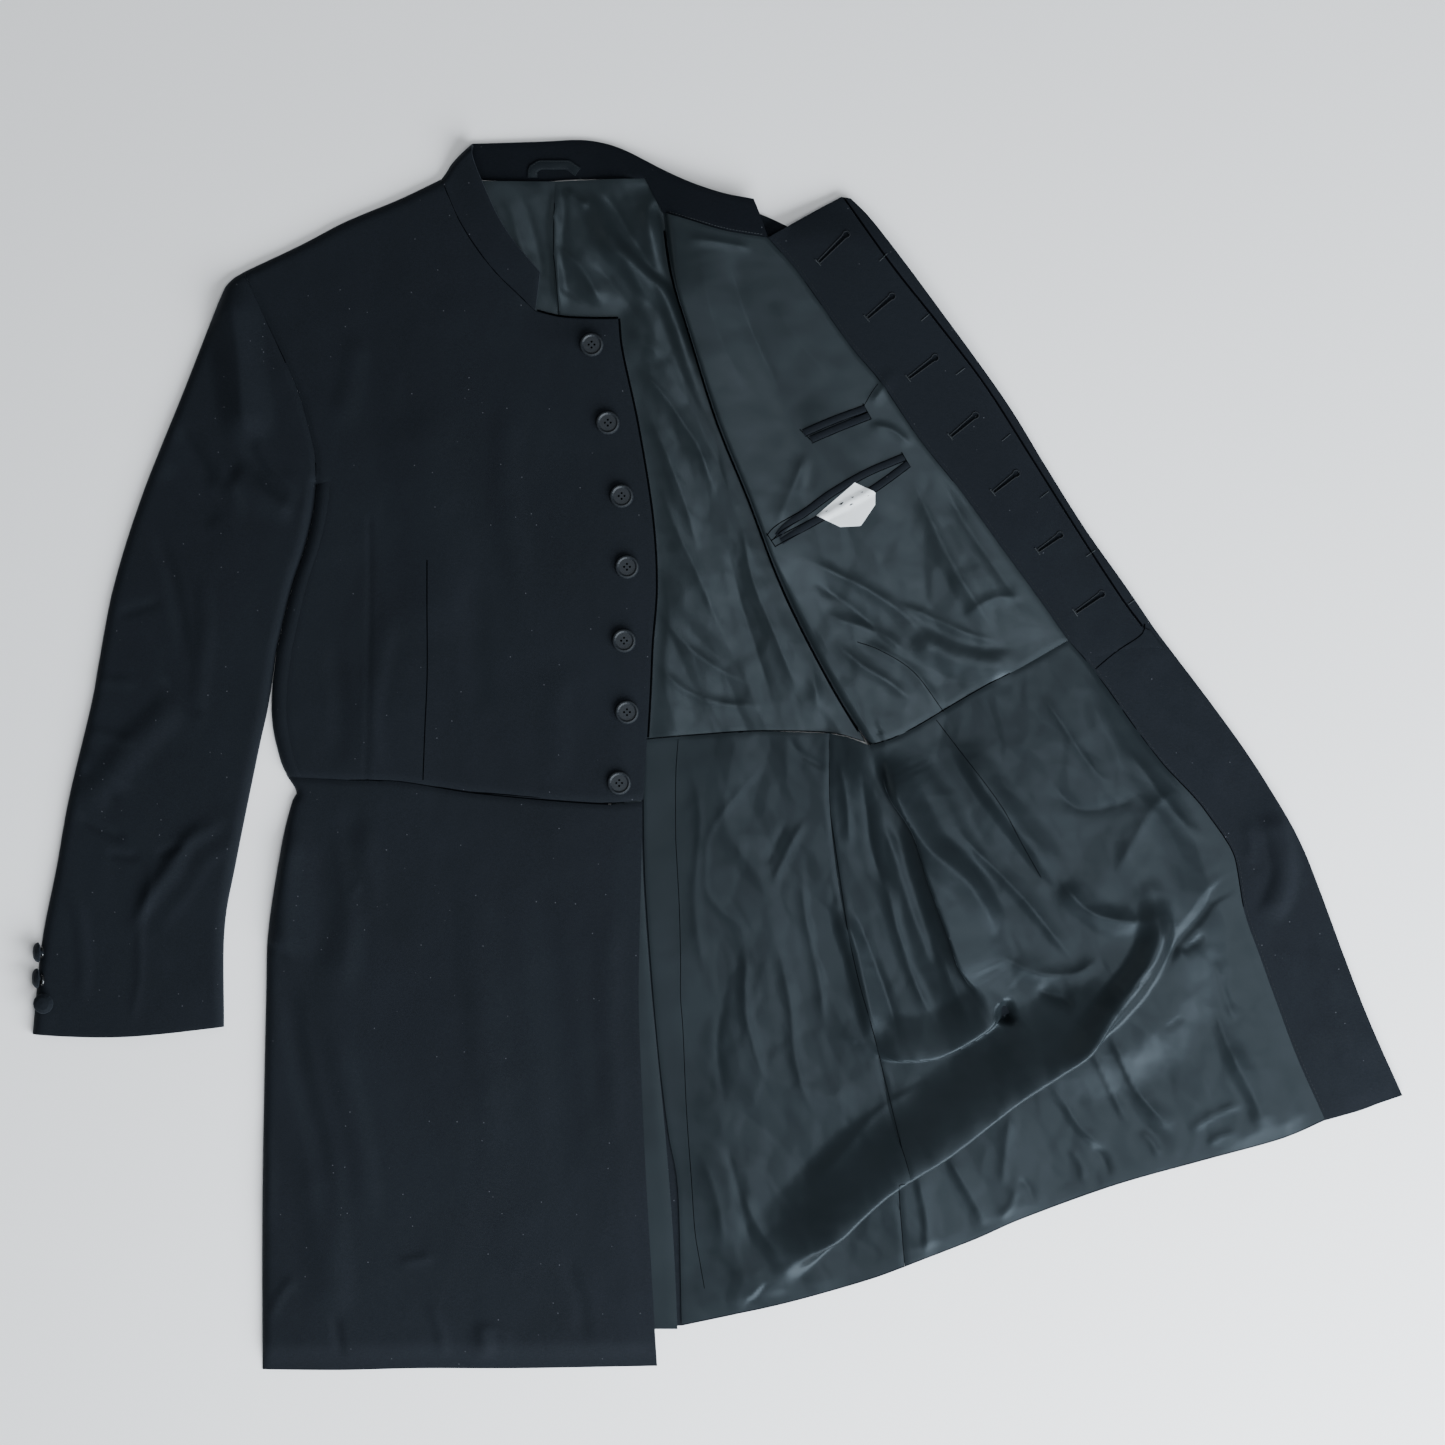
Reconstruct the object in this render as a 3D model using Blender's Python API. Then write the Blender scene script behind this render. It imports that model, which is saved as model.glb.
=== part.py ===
"""Black wool frock coat laid out on its back, its left front thrown open over the hidden left sleeve.

Every length here is in millimetres: x runs to the right of the laid-out coat, y towards its collar
and z up from the surface that it lies on. Each cloth piece is a wall between two offsets from the
upper face of its layer, so pieces that lie on each other are made from the same surface. "Right"
and "left" are the wearer's: the right front lies closed at -x, the left front open at +x.
"""
import math

import bpy
import numpy as np
from mathutils import Matrix, Vector

MM = 0.001

# Walls of cloth, and the gaps between them
WOOL = 1.8
SATIN = 1.0
COLLAR_WALL = 2.5
LAYER_GAP = 0.3
SEAM_PULL = 0.32
WIDE_SEAM_PULL = 0.8
THINNEST = 0.05

# Heights of the upper faces of the layers
LINING_LEVEL = WOOL + LAYER_GAP + SATIN
RIGHT_LEVEL = 7.2
RIGHT_EDGE_LEVEL = 5.8
LEFT_OVER_SLEEVE = 10.2
LEFT_SLEEVE_LEVEL = 6.4
UNDER_SLEEVE_WALL = 1.5
VENT_LEVEL = 3.6
VENT_WALL = 1.2
COLLAR_FREE_LEVEL = 13.0

# How an outer edge of an upper layer turns down to the surface
ROLL_RADIUS = 9.0
ROLL_STEPS = (0.0, 1.4, 4.5, 9.5)
BODY_STEPS = (0.0, 1.4, 4.5, 9.5, 18.0)
ROLL_CLEARANCE = 3.6
LEFT_SLEEVE_CLEARANCE = 2.5
BACK_SHOULDER_DROPS = (4.3, 4.3, 4.3, 4.3, 8.6)
LINING_SHOULDER_DROPS = (7.9, 7.9, 14.4)
UNDER_PANEL_CORNER = 0.047
UNDER_PANEL_DROP = 2.5
LEFT_ARMHOLE_DROP = 1.5
HEM_DROOP_REACH = 24.0
HEM_STEPS = (0.0, 8.0, 16.0, 26.0)
FREE_EDGE_REACH = 25.0

# Front buttons with four holes, and cloth-covered buttons at the cuffs
BUTTON_RADIUS = 10.0
BUTTON_RIM = 3.4
BUTTON_WELL = 2.3
BUTTON_HOLE_RADIUS = 1.0
BUTTON_HOLE_SPREAD = 2.4
CUFF_BUTTON_RADIUS = 8.5
CUFF_BUTTON_HEIGHT = 5.4
SHANK_RADIUS = 2.2
SHANK_HEIGHT = 3.4
BUTTON_SEGMENTS = 20
CUFF_BUTTON_SEGMENTS = 14

# Where the buttons sit, and how many degrees each right cuff button leans over
FRONT_BUTTONS = [(-104, 342.5), (-90.5, 277.5), (-79, 216.5), (-74.5, 157.5), (-77, 96),
                 (-74.5, 36.5), (-81, -22.5)]
RIGHT_CUFF_BUTTONS = [(-564, -163.5, 72), (-564.5, -185, 72), (-560, -206, 0)]

# Trimmings
LOOP_WIDTH = 8.0
JET_WIDTH = 5.0
JET_WALL = 1.2
TRIM_LIFT = 0.6
BUTTON_LIFT = 0.4
BUTTONHOLE_CUT = 1.8
BUTTONHOLE_EYE = 4.0
EYE_SEGMENTS = 8
HANGER_LOOP = [(-153.5, 482.5), (-153.5, 489), (-147.5, 493), (-124, 493), (-115.5, 487)]

# Each buttonhole's eye and the bar at its other end
BUTTONHOLES = [((108, 434), (85.5, 411.5)), ((146, 382.5), (126, 365)), ((182, 331.5), (160.5, 315)),
               ((215.5, 283.5), (195.5, 266.5)), ((249.5, 235), (231, 220)), ((286, 184), (268, 171)),
               ((321, 135), (299.5, 120))]

# The two lips of each inner pocket, along their middles
POCKET_LIPS = {
    "upper_pocket_lip_top": [(71.5, 270), (124.5, 290)],
    "upper_pocket_lip_bottom": [(79, 263.5), (128, 282)],
    "lower_pocket_lip_top": [(53, 184), (70, 201), (103, 221.5), (156, 248.5)],
    "lower_pocket_lip_bottom": [(55, 177.5), (86, 193), (132, 217), (160, 238)],
}
LABEL_SIDES = [((83, 201), (114, 226.5)), ((104, 190), (131, 210)), ((83, 201), (104, 190)),
               ((114, 226.5), (131, 210))]

# The pattern's edges as they lie, as (x, y) stations joined by smooth curves
EDGES = {
    "right shoulder": [(-394.5, 404), (-347, 426.5), (-309.5, 446), (-264, 465), (-229.5, 481.5)],
    "right armhole": [(-394.5, 404), (-380.5, 373.5), (-364, 338.5), (-350.5, 308.5), (-340.5, 276),
                      (-334.5, 248.5), (-334, 226)],
    "underarm": [(-334, 226), (-337, 201), (-344, 171.5), (-354.5, 140), (-367, 88.5)],
    "right side": [(-367, 88.5), (-371, 55), (-370.5, 25), (-364, -3.5), (-358, -17.5)],
    "right neckline": [(-229.5, 481.5), (-216, 449), (-199, 421.5), (-180.5, 399), (-151, 371)],
    "right front top": [(-151, 371), (-130.5, 366), (-105.5, 364.5), (-82, 364.5)],
    "right front edge": [(-82, 364.5), (-79, 336.5), (-66, 276), (-54, 201), (-50.5, 142.5),
                         (-54, 92.5), (-56, 46.5), (-61, -36.5)],
    "right waist": [(-358, -17.5), (-305.5, -20), (-264, -21), (-197, -31), (-97, -39), (-61, -36.5)],
    "right skirt side": [(-358, -17.5), (-350.5, -30), (-354.5, -39), (-363, -74), (-374, -145),
                         (-376, -203.5), (-379, -370), (-379, -512)],
    "right hem": [(-379, -512), (-314, -512.5), (-247, -511), (-164, -511), (-49.5, -509)],
    "right skirt front": [(-62, -38), (-62, -66), (-64.5, -170), (-64.5, -220), (-59.5, -336.5),
                          (-54, -432.5), (-49.5, -509)],
    "right sleeve back": [(-394.5, 404), (-405.5, 396.5), (-414.5, 381.5), (-444, 306.5),
                          (-479.5, 217.5), (-503, 142.5), (-515.5, 78.5), (-522, 42.5),
                          (-540.5, -35), (-551, -93.5), (-563, -155), (-571, -232)],
    "right cuff": [(-571, -232), (-539, -234), (-501, -234.5), (-464, -232), (-411, -226)],
    "right sleeve front": [(-367, 88.5), (-374, 42), (-382, 5), (-400.5, -86.5), (-410.5, -145),
                           (-411, -226)],
    "collar turn": [(-229.5, 481.5), (-225.5, 487), (-220.5, 495), (-212, 504), (-204, 511)],
    "collar right free": [(-204, 511), (-203, 498.5), (-196, 480), (-183, 451), (-169, 428.5),
                          (-147, 402.5)],
    "collar right end": [(-151, 371), (-147, 402.5)],
    "collar start": [(-201, 510.5), (-204.5, 497), (-207, 481)],
    "collar top": [(-201, 510.5), (-147, 512.5), (-114, 514), (-93, 511), (-76, 505), (-59.5, 496.5),
                   (-40.5, 486.5), (-18, 476.5), (7, 468.5), (31, 464)],
    "collar back seam": [(-207, 481), (-155.5, 479), (-114, 481), (-59.5, 481.5)],
    "collar left corner": [(-59.5, 481.5), (-52, 466), (-44, 452.5)],
    "collar left seam": [(-44, 452.5), (-22, 446), (7, 437.5), (43, 431.5)],
    "collar left end": [(31, 464), (36, 451.5), (43, 431.5)],
    "back neck right": [(-229.5, 481.5), (-197, 479.5), (-134.5, 479)],
    "back neck left": [(-134.5, 479), (-100, 480.5), (-59.5, 481.5)],
    "centre back": [(-134.5, 479), (-136, 434), (-132, 365), (-105.5, 230), (-80.5, 113.5),
                    (-61, 13.5)],
    "back waist right": [(-358, -17.5), (-247, -7.5), (-130.5, 6.5), (-61, 13.5)],
    "back waist left": [(-61, 13.5), (-14, 17.5), (36, 20.5), (94, 19), (124.5, 11.5)],
    "left shoulder": [(-59.5, 481.5), (-15, 463), (50, 437), (115, 412)],
    "left armhole": [(115, 412), (92, 340), (70, 276), (64, 226)],
    "left side": [(64, 226), (72, 160), (90, 90), (110, 40), (124.5, 11.5)],
    "left sleeve back": [(115, 412), (178, 297), (245, 163), (311, 13), (361, -103), (379.5, -145)],
    "left sleeve front": [(64, 226), (108, 120), (153, -3), (195, -120), (229.5, -221.5)],
    "left cuff": [(379.5, -145), (229.5, -221.5)],
    "left fold": [(-44, 452.5), (-37, 405), (-22, 355), (1, 280), (28, 213.5), (50.5, 153.5),
                  (69.5, 111), (99, 55), (127, 9)],
    "facing seam": [(43, 431.5), (69.5, 401), (111, 342.5), (137, 311.5), (169.5, 263.5),
                    (203, 221.5), (236, 176), (269.5, 130), (293, 96.5)],
    "left waist": [(127, 9), (153, 17.5), (189.5, 38.5), (219.5, 56.5), (253, 73.5), (293, 96.5)],
    "fly top": [(43, 431.5), (59.5, 441), (86, 456), (104.5, 466)],
    "fly edge": [(104.5, 466), (144.5, 409), (186, 356.5), (224, 306.5), (261, 249), (299, 189),
                 (336, 132.5), (354, 108)],
    "front edge top": [(104.5, 466), (112, 465)],
    "left front edge": [(112, 465), (128, 448.5), (153, 416), (186, 371.5), (240.5, 296.5),
                        (274, 242.5), (307, 190), (340.5, 142.5), (366, 105)],
    "fly waist": [(293, 96.5), (328, 106.5), (354, 108)],
    "edge waist": [(354, 108), (366, 105)],
    "vent border": [(-61, 13.5), (-60, -90), (-54.5, -175), (-48, -250), (-40, -315), (-32, -365),
                    (-29, -475.5)],
    "side back seam": [(94, 19), (94, -20), (96, -61.5), (104, -120), (119.5, -191), (136, -251.5),
                       (149, -336.5), (157, -426.5)],
    "skirt waist": [(94, 19), (112, 10), (127, 9)],
    "skirt facing seam": [(293, 96.5), (313, 73.5), (336, 41.5), (369.5, -3.5), (400.5, -36.5),
                          (426, -71.5), (434, -91.5), (440.5, -130), (454.5, -170), (469.5, -211.5),
                          (486, -255), (508, -304)],
    "skirt fly line": [(354, 108), (395, 51), (428, 5), (455, -36), (475, -76), (491, -120),
                       (527, -215), (552, -290)],
    "left skirt edge": [(366, 105), (407, 51), (440.5, 5), (465.5, -34), (486, -70), (503, -111.5),
                        (540.5, -211.5), (572, -283)],
    "left back hem": [(-29, -475.5), (9, -467.5), (51, -458.5), (89, -448.5), (131, -436),
                      (157, -426.5)],
    "left front hem": [(157, -426.5), (216, -403.5), (256, -386), (330.5, -359), (403, -338.5),
                       (470.5, -320), (508, -304)],
    "facing hem": [(508, -304), (536, -296), (552, -290)],
    "edge hem": [(552, -290), (572, -283)],
    "vent hidden": [(-88, 2), (-86, -120), (-84, -300), (-80, -478)],
    "vent top": [(-88, 2), (-63, 4)],
    "vent edge": [(-63, 4), (-61.5, -90), (-56, -175), (-50, -240), (-44.5, -295), (-39.5, -353.5),
                  (-35.5, -411.5), (-32.5, -478)],
    "vent hem": [(-80, -478), (-32.5, -478)],
    "left shell vent": [(-66, 10), (-70, -120), (-66, -203.5), (-58, -311.5), (-50, -476)],
    "right shell vent": [(-72, 8), (-92, -60), (-92, -300), (-90, -484)],
    "right back hem": [(-374, -492), (-222, -490), (-90, -484)],
    "left shell hem": [(-50, -476), (-29, -475.5)],
    "left shell waist": [(-66, 10), (-61, 13.5)],
}

# Main folds of the cloth: height at the crest, reach on the left and the right of its own
# direction, and the stations that the crest runs through
FOLDS = {
    "right": [
        # height, reach left, reach right, crest
        (8.0, 26, 26, [(-407, 396), (-401, 353), (-396, 311), (-388, 258)]),
        (4.0, 24, 20, [(-408, 235), (-378, 218), (-349, 205)]),
        (3.0, 20, 20, [(-530, -45), (-492, 0), (-444, 52)]),
        (3.0, 26, 22, [(-478, -140), (-450, -105), (-430, -78), (-404, -60)]),
        (-2.0, 16, 16, [(-462, 240), (-431, 210), (-416, 190)]),
        (3.0, 24, 24, [(-352, -60), (-352, -120), (-356, -172)]),
        (2.5, 26, 26, [(-300, -50), (-300, -130), (-318, -200)]),
        (2.5, 22, 30, [(-332, -330), (-322, -400), (-318, -470)]),
        (3.0, 45, 45, [(-255, 300), (-235, 200), (-225, 90)]),
        (2.0, 24, 24, [(-185, -470), (-193, -512)]),
    ],
    "back": [
        (1.1, 9, 5, [(-134, 476), (-134, 434), (-131, 365)]),
        (1.0, 18, 14, [(-105, 440), (-70, 400), (-48, 350), (-30, 290)]),
        (0.9, 16, 16, [(-60, 160), (-20, 120), (20, 85)]),
    ],
    "left": [
        (7.0, 40, 20, [(-30, 440), (-24, 405), (-8, 355), (15, 285), (42, 218), (66, 160), (86, 112)]),
        (20.0, 28, 46, [(57, -450), (95, -409), (140, -365), (193, -332), (244, -289), (291, -253),
                        (337, -215), (375, -174), (406, -132), (430, -100)]),
        (11.0, 34, 22, [(128, 2), (150, -35), (163, -63), (181, -127), (203, -188), (228, -209)]),
        (8.0, 22, 22, [(232, -206), (219, -231), (200, -248), (164, -251), (134, -251)]),
        (5.0, 14, 16, [(143, -3), (168, -40), (200, -90), (217, -112), (232, -154)]),
        (5.0, 16, 16, [(284, -110), (320, -138), (344, -142), (356, -138)]),
        (5.0, 20, 12, [(102, -127), (118, -180), (132, -237)]),
        (3.0, 20, 20, [(330, -235), (350, -280), (386, -320)]),
        (3.0, 18, 18, [(425, -240), (450, -290), (458, -315)]),
        (-3.0, 20, 20, [(455, -58), (463, -98), (446, -132)]),
        (3.0, 20, 20, [(70, 300), (110, 250), (150, 190)]),
        (3.0, 18, 18, [(160, 100), (200, 80), (250, 75)]),
    ],
}

# What holds the left front up: the back beside the armhole, and the sleeve under it, each as the
# two ends of its middle line with its half width there
LEFT_SUPPORTS = [((-35, 450), 72, (75, 110), 72), ((90, 319), 108, (300, -160), 88)]
LEFT_SLOPE_REACH = 46.0

# Steps along the seams that two pieces share
NECK_STEPS = 7
UNDERARM_STEPS = 5
SKIRT_SIDE_STEPS = (0, 0.03, 0.06, 0.14, 0.304, 0.467, 0.631, 0.794, 0.958)
FLY_TAIL_SHARE = 0.045
SHELL_HIGH = -(SATIN + LAYER_GAP)
SHELL_LOW = SHELL_HIGH - WOOL

COLOURS = {
    # name: red, green, blue, roughness
    "wool": (0.012, 0.015, 0.021, 0.85),
    "satin": (0.045, 0.062, 0.070, 0.32),
    "horn": (0.010, 0.010, 0.011, 0.30),
    "label": (0.75, 0.75, 0.73, 0.60),
}


def clear_scene():
    """Removes what a new file holds."""
    for thing in list(bpy.data.objects):
        bpy.data.objects.remove(thing)


def material(name):
    """The Principled material of that name, made once."""
    found = bpy.data.materials.get(name)
    if found:
        return found
    made = bpy.data.materials.new(name)
    made.use_nodes = True
    shader = made.node_tree.nodes["Principled BSDF"]
    red, green, blue, roughness = COLOURS[name]
    shader.inputs["Base Color"].default_value = (red, green, blue, 1.0)
    shader.inputs["Roughness"].default_value = roughness
    shader.inputs["Metallic"].default_value = 0.0
    return made


def smooth_line(stations, steps=8):
    """A Catmull-Rom curve through the stations, as many close points."""
    p = np.array(stations, float)
    if len(p) < 3:
        return np.array([p[0] + (p[-1] - p[0]) * t for t in np.linspace(0, 1, steps + 1)])
    p = np.vstack([2 * p[0] - p[1], p, 2 * p[-1] - p[-2]])
    out = []
    for a, b, c, d in zip(p, p[1:], p[2:], p[3:]):
        for t in np.arange(steps) / steps:
            out.append(0.5 * (2 * b + (c - a) * t + (2 * a - 5 * b + 4 * c - d) * t ** 2
                              + (3 * b - a - 3 * c + d) * t ** 3))
    return np.array(out + [p[-2]])


def at_fractions(line, fractions):
    """Points at these fractions of a line's length."""
    run = np.concatenate([[0], np.cumsum(np.linalg.norm(np.diff(line, axis=0), axis=1))])
    where = np.array(fractions) * run[-1]
    return np.stack([np.interp(where, run, line[:, k]) for k in (0, 1)], axis=1)


def length_of(name):
    return np.linalg.norm(np.diff(smooth_line(EDGES[name]), axis=0), axis=1).sum()


def edge(*parts):
    """Points along one or more named edges, end to end. A part is (name, count) or
    (name, fractions), and a name with a minus sign runs backwards."""
    points = []
    for name, share in parts:
        line = smooth_line(EDGES[name.lstrip("-")])
        if name.startswith("-"):
            line = line[::-1]
        fractions = np.linspace(0, 1, share + 1) if isinstance(share, int) else share
        piece = at_fractions(line, fractions)
        points = piece if len(points) == 0 else np.vstack([points, piece[1:]])
    return points


def rolled(length, count, start=False, end=False, steps=ROLL_STEPS):
    """Fractions of a line in equal steps, with closer ones where an end turns down."""
    low = [s / length for s in steps] if start else [0.0]
    high = [1 - s / length for s in reversed(steps)] if end else [1.0]
    return np.array(low[:-1] + list(np.linspace(low[-1], high[0], count + 1)) + high[1:])


ARMHOLE_STEPS = rolled(length_of("right armhole"), 6, start=True, end=True)


def fractions_of(line):
    run = np.concatenate([[0], np.cumsum(np.linalg.norm(np.diff(line, axis=0), axis=1))])
    return run / run[-1]


def patch(top, bottom, left, right):
    """A grid of points filled in between four edges: top and bottom run left to right, left and
    right run downwards."""
    u = ((fractions_of(top) + fractions_of(bottom)) / 2)[None, :, None]
    v = ((fractions_of(left) + fractions_of(right)) / 2)[:, None, None]
    across = (1 - v) * top[None] + v * bottom[None]
    down = (1 - u) * left[:, None] + u * right[:, None]
    corners = ((1 - u) * (1 - v) * top[0] + u * (1 - v) * top[-1]
               + (1 - u) * v * bottom[0] + u * v * bottom[-1])
    return across + down - corners


def beside(*grids):
    """Grids that share a column, side by side."""
    return np.concatenate([grids[0]] + [g[:, 1:] for g in grids[1:]], axis=1)


def below(*grids):
    """Grids that share a row, one under the other."""
    return np.concatenate([grids[0]] + [g[1:] for g in grids[1:]], axis=0)


def inset(grid, left=0.0, right=0.0, top=0.0, bottom=0.0):
    """The grid with its border lines moved inwards, square to themselves."""
    grid = grid.copy()
    borders = ((left, np.s_[:, 0], np.s_[:, 1]), (right, np.s_[:, -1], np.s_[:, -2]),
               (top, np.s_[0], np.s_[1]), (bottom, np.s_[-1], np.s_[-2]))
    for amount, rim, inner in borders:
        if amount:
            line = grid[rim]
            along = np.gradient(line, axis=0)
            square = np.stack([-along[:, 1], along[:, 0]], axis=1)
            square /= np.linalg.norm(square, axis=1)[:, None]
            inwards = np.sign(((grid[inner] - line) * square).sum(axis=1))[:, None]
            grid[rim] = line + square * inwards * amount
    return grid


def drawn_in(grid, amount):
    """The grid with its top row moved towards its second one."""
    grid = grid.copy()
    way = grid[1] - grid[0]
    grid[0] += way * amount / np.linalg.norm(way, axis=1)[:, None]
    return grid


def smoothstep(t):
    t = np.clip(t, 0, 1)
    return t * t * (3 - 2 * t)


def to_line(xy, line):
    """Each point's distance from a line, its side of it (+1 left) and how far along it is."""
    best = np.full(len(xy), 1e9)
    side = np.ones(len(xy))
    place = np.zeros(len(xy))
    run = np.concatenate([[0], np.cumsum(np.linalg.norm(np.diff(line, axis=0), axis=1))])
    for k, (a, b) in enumerate(zip(line, line[1:])):
        d = b - a
        t = np.clip(((xy - a) @ d) / (d @ d), 0, 1)
        off = xy - (a + t[:, None] * d)
        distance = np.linalg.norm(off, axis=1)
        closer = distance < best
        best = np.where(closer, distance, best)
        side = np.where(closer, np.sign(d[0] * off[:, 1] - d[1] * off[:, 0]), side)
        place = np.where(closer, (run[k] + t * math.sqrt(d @ d)) / run[-1], place)
    return best, side, place


def fold_heights(xy, layer):
    """The folds of one layer, added up. A crest fades out at both ends."""
    total = np.zeros(len(xy))
    for height, reach_left, reach_right, crest in FOLDS[layer]:
        distance, side, place = to_line(xy, smooth_line(crest, 4))
        reach = np.where(side > 0, reach_left, reach_right)
        profile = np.cos(np.clip(distance / reach, 0, 1) * math.pi) * 0.5 + 0.5
        ends = smoothstep(place / 0.2) * smoothstep((1 - place) / 0.2)
        total += height * profile * (0.15 + 0.85 * ends)
    return total


def turned_down(xy, names, radius=ROLL_RADIUS):
    """1 away from these edges, falling to 0 on them in a quarter round."""
    distance = np.full(len(xy), 1e9)
    for name in names:
        distance = np.minimum(distance, to_line(xy, smooth_line(EDGES[name], 5))[0])
    t = np.clip(distance / radius, 0, 1)
    return np.sqrt(1 - (1 - t) ** 2)


def eased(xy, names, reach):
    """1 away from these edges, easing to 0 on them."""
    distance = np.full(len(xy), 1e9)
    for name in names:
        distance = np.minimum(distance, to_line(xy, smooth_line(EDGES[name], 5))[0])
    return smoothstep(distance / reach)


def flat_layer(level):
    return lambda xy: np.full(len(xy), level)


def back_lining_layer(xy):
    return LINING_LEVEL + np.maximum(fold_heights(xy, "back"), 0)


def right_layer(xy):
    """Upper face of the closed right front, its skirt and the right sleeve."""
    free = eased(xy, ["right front top", "right front edge", "right skirt front"], FREE_EDGE_REACH)
    level = RIGHT_EDGE_LEVEL + (RIGHT_LEVEL - RIGHT_EDGE_LEVEL + fold_heights(xy, "right")) * free
    hem = eased(xy, ["right hem"], HEM_DROOP_REACH)
    level = WOOL + (level - WOOL) * hem
    return level * turned_down(xy, ["right shoulder", "underarm", "right side", "right skirt side",
                                    "right sleeve back", "right sleeve front"])


def left_layer(xy):
    """Upper face of the opened left front and of the whole left skirt, linings up."""
    cover = np.zeros(len(xy))
    for a, half_a, b, half_b in LEFT_SUPPORTS:
        distance, _, place = to_line(xy, np.array([a, b], float))
        outside = distance - (half_a + (half_b - half_a) * place)
        cover = np.maximum(cover, 1 - smoothstep(outside / LEFT_SLOPE_REACH))
    return LINING_LEVEL + (LEFT_OVER_SLEEVE - LINING_LEVEL) * cover


def left_front_layer(xy):
    """The left front rises from its fold edge, which lies on the lining of the back."""
    rest = LINING_LEVEL + LAYER_GAP
    full = np.maximum(left_layer(xy) + fold_heights(xy, "left"), LINING_LEVEL)
    return rest + (full - rest) * turned_down(xy, ["left fold"])


def left_skirt_layer(xy):
    """The left skirt lies on the surface near its vent and on the sleeve further out."""
    raised = smoothstep((xy[:, 0] - 60) / 70)
    folds = fold_heights(xy, "left") * smoothstep((xy[:, 0] + 20) / 60)
    return np.maximum(LINING_LEVEL + (left_layer(xy) - LINING_LEVEL) * raised + folds, LINING_LEVEL)


def left_sleeve_layer(xy):
    return LEFT_SLEEVE_LEVEL * turned_down(xy, ["left sleeve back", "left sleeve front"], 7.0)


def right_collar_layer(xy):
    """The right half of the collar leans up from its seam to its free edge."""
    distance = to_line(xy, smooth_line(EDGES["right neckline"], 5))[0]
    level = RIGHT_LEVEL + (COLLAR_FREE_LEVEL - RIGHT_LEVEL) * smoothstep(distance / 40)
    return level * turned_down(xy, ["collar turn"], 6.0)


def back_collar_layer(xy):
    """The back of the collar lies on the surface, and its left end on the left front."""
    return COLLAR_WALL + (LEFT_OVER_SLEEVE - COLLAR_WALL) * smoothstep((xy[:, 0] + 105) / 95)


def sheet(layer, grid):
    """A grid of places lifted onto a layer's face: each point, then the normal there."""
    heights = layer(grid.reshape(-1, 2)).reshape(grid.shape[:-1])
    points = np.concatenate([grid, heights[..., None]], axis=-1)
    normals = np.cross(np.gradient(points, axis=1), -np.gradient(points, axis=0))
    normals /= np.linalg.norm(normals, axis=-1)[..., None]
    return np.concatenate([points, normals], axis=-1)


def add_object(name, points, faces, finish, smooth=True):
    """One closed mesh as an object with its own material."""
    mesh = bpy.data.meshes.new(name)
    mesh.from_pydata([tuple(p) for p in np.array(points) * MM], [], faces)
    mesh.validate()
    mesh.materials.append(material(finish))
    if smooth:
        mesh.shade_smooth()
        mesh.set_sharp_from_angle(angle=math.radians(50))
    made = bpy.data.objects.new(name, mesh)
    bpy.context.collection.objects.link(made)
    return made


def wall(name, cloth, low, high, finish, cells=None, floor=0.0, gap=SEAM_PULL):
    """A piece of cloth between two offsets from a sheet. cells picks the part of the sheet that
    it covers, and its rim is drawn in a little for the gap at the seams."""
    rows, columns = cloth.shape[0] - 1, cloth.shape[1] - 1
    cells = np.ones((rows, columns), bool) if cells is None else cells
    points, normals = cloth[..., :3].copy(), cloth[..., 3:]
    centres = (points[:-1, :-1] + points[1:, :-1] + points[:-1, 1:] + points[1:, 1:])[..., :2] / 4
    used = np.zeros((rows + 1, columns + 1), int)
    middle = np.zeros((rows + 1, columns + 1, 2))
    for i, j in zip(*np.nonzero(cells)):
        used[i:i + 2, j:j + 2] += 1
        middle[i:i + 2, j:j + 2] += centres[i, j]
    rim = (used > 0) & (used < 4)
    pull = middle[rim] / used[rim][:, None] - points[rim][:, :2]
    points[rim, :2] += pull / np.linalg.norm(pull, axis=1)[:, None] * gap
    count = int((used > 0).sum())
    index = np.full(used.shape, -1)
    index[used > 0] = np.arange(count)
    upper = (points + normals * high)[used > 0]
    lower = (points + normals * low)[used > 0]
    lower[:, 2] = np.maximum(lower[:, 2], floor)
    upper[:, 2] = np.maximum(upper[:, 2], floor + THINNEST)
    rings = [[int(index[i, j]), int(index[i + 1, j]), int(index[i + 1, j + 1]), int(index[i, j + 1])]
             for i, j in zip(*np.nonzero(cells))]
    return closed_wall(name, upper, lower, rings, finish)


def closed_wall(name, upper, lower, rings, finish):
    """Joins two like sets of points, each with these quads, all along their open sides."""
    count = len(upper)
    faces = []
    sides = set()
    for a, b, c, d in rings:
        for face in ((a, b, c), (a, c, d)):
            faces.append(face)
            faces.append(tuple(k + count for k in reversed(face)))
        sides.update(((a, b), (b, c), (c, d), (d, a)))
    for a, b in sorted(sides):
        if (b, a) not in sides:
            faces.append((b, a, a + count, b + count))
    return add_object(name, np.vstack([upper, lower]), faces, finish)


def tape(path, width):
    """Places across a flat tape along a path, with mitred corners and square ends."""
    line = np.array(path, float)
    ways = np.diff(line, axis=0)
    ways /= np.linalg.norm(ways, axis=1)[:, None]
    before = np.vstack([ways[:1], ways])
    after = np.vstack([ways, ways[-1:]])
    along = before + after
    along /= np.linalg.norm(along, axis=1)[:, None]
    square = np.stack([-along[:, 1], along[:, 0]], axis=1)
    reach = width / 2 / (along * before).sum(axis=1)[:, None]
    return np.stack([line + square * reach * side for side in (1, 0, -1)], axis=1)


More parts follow.
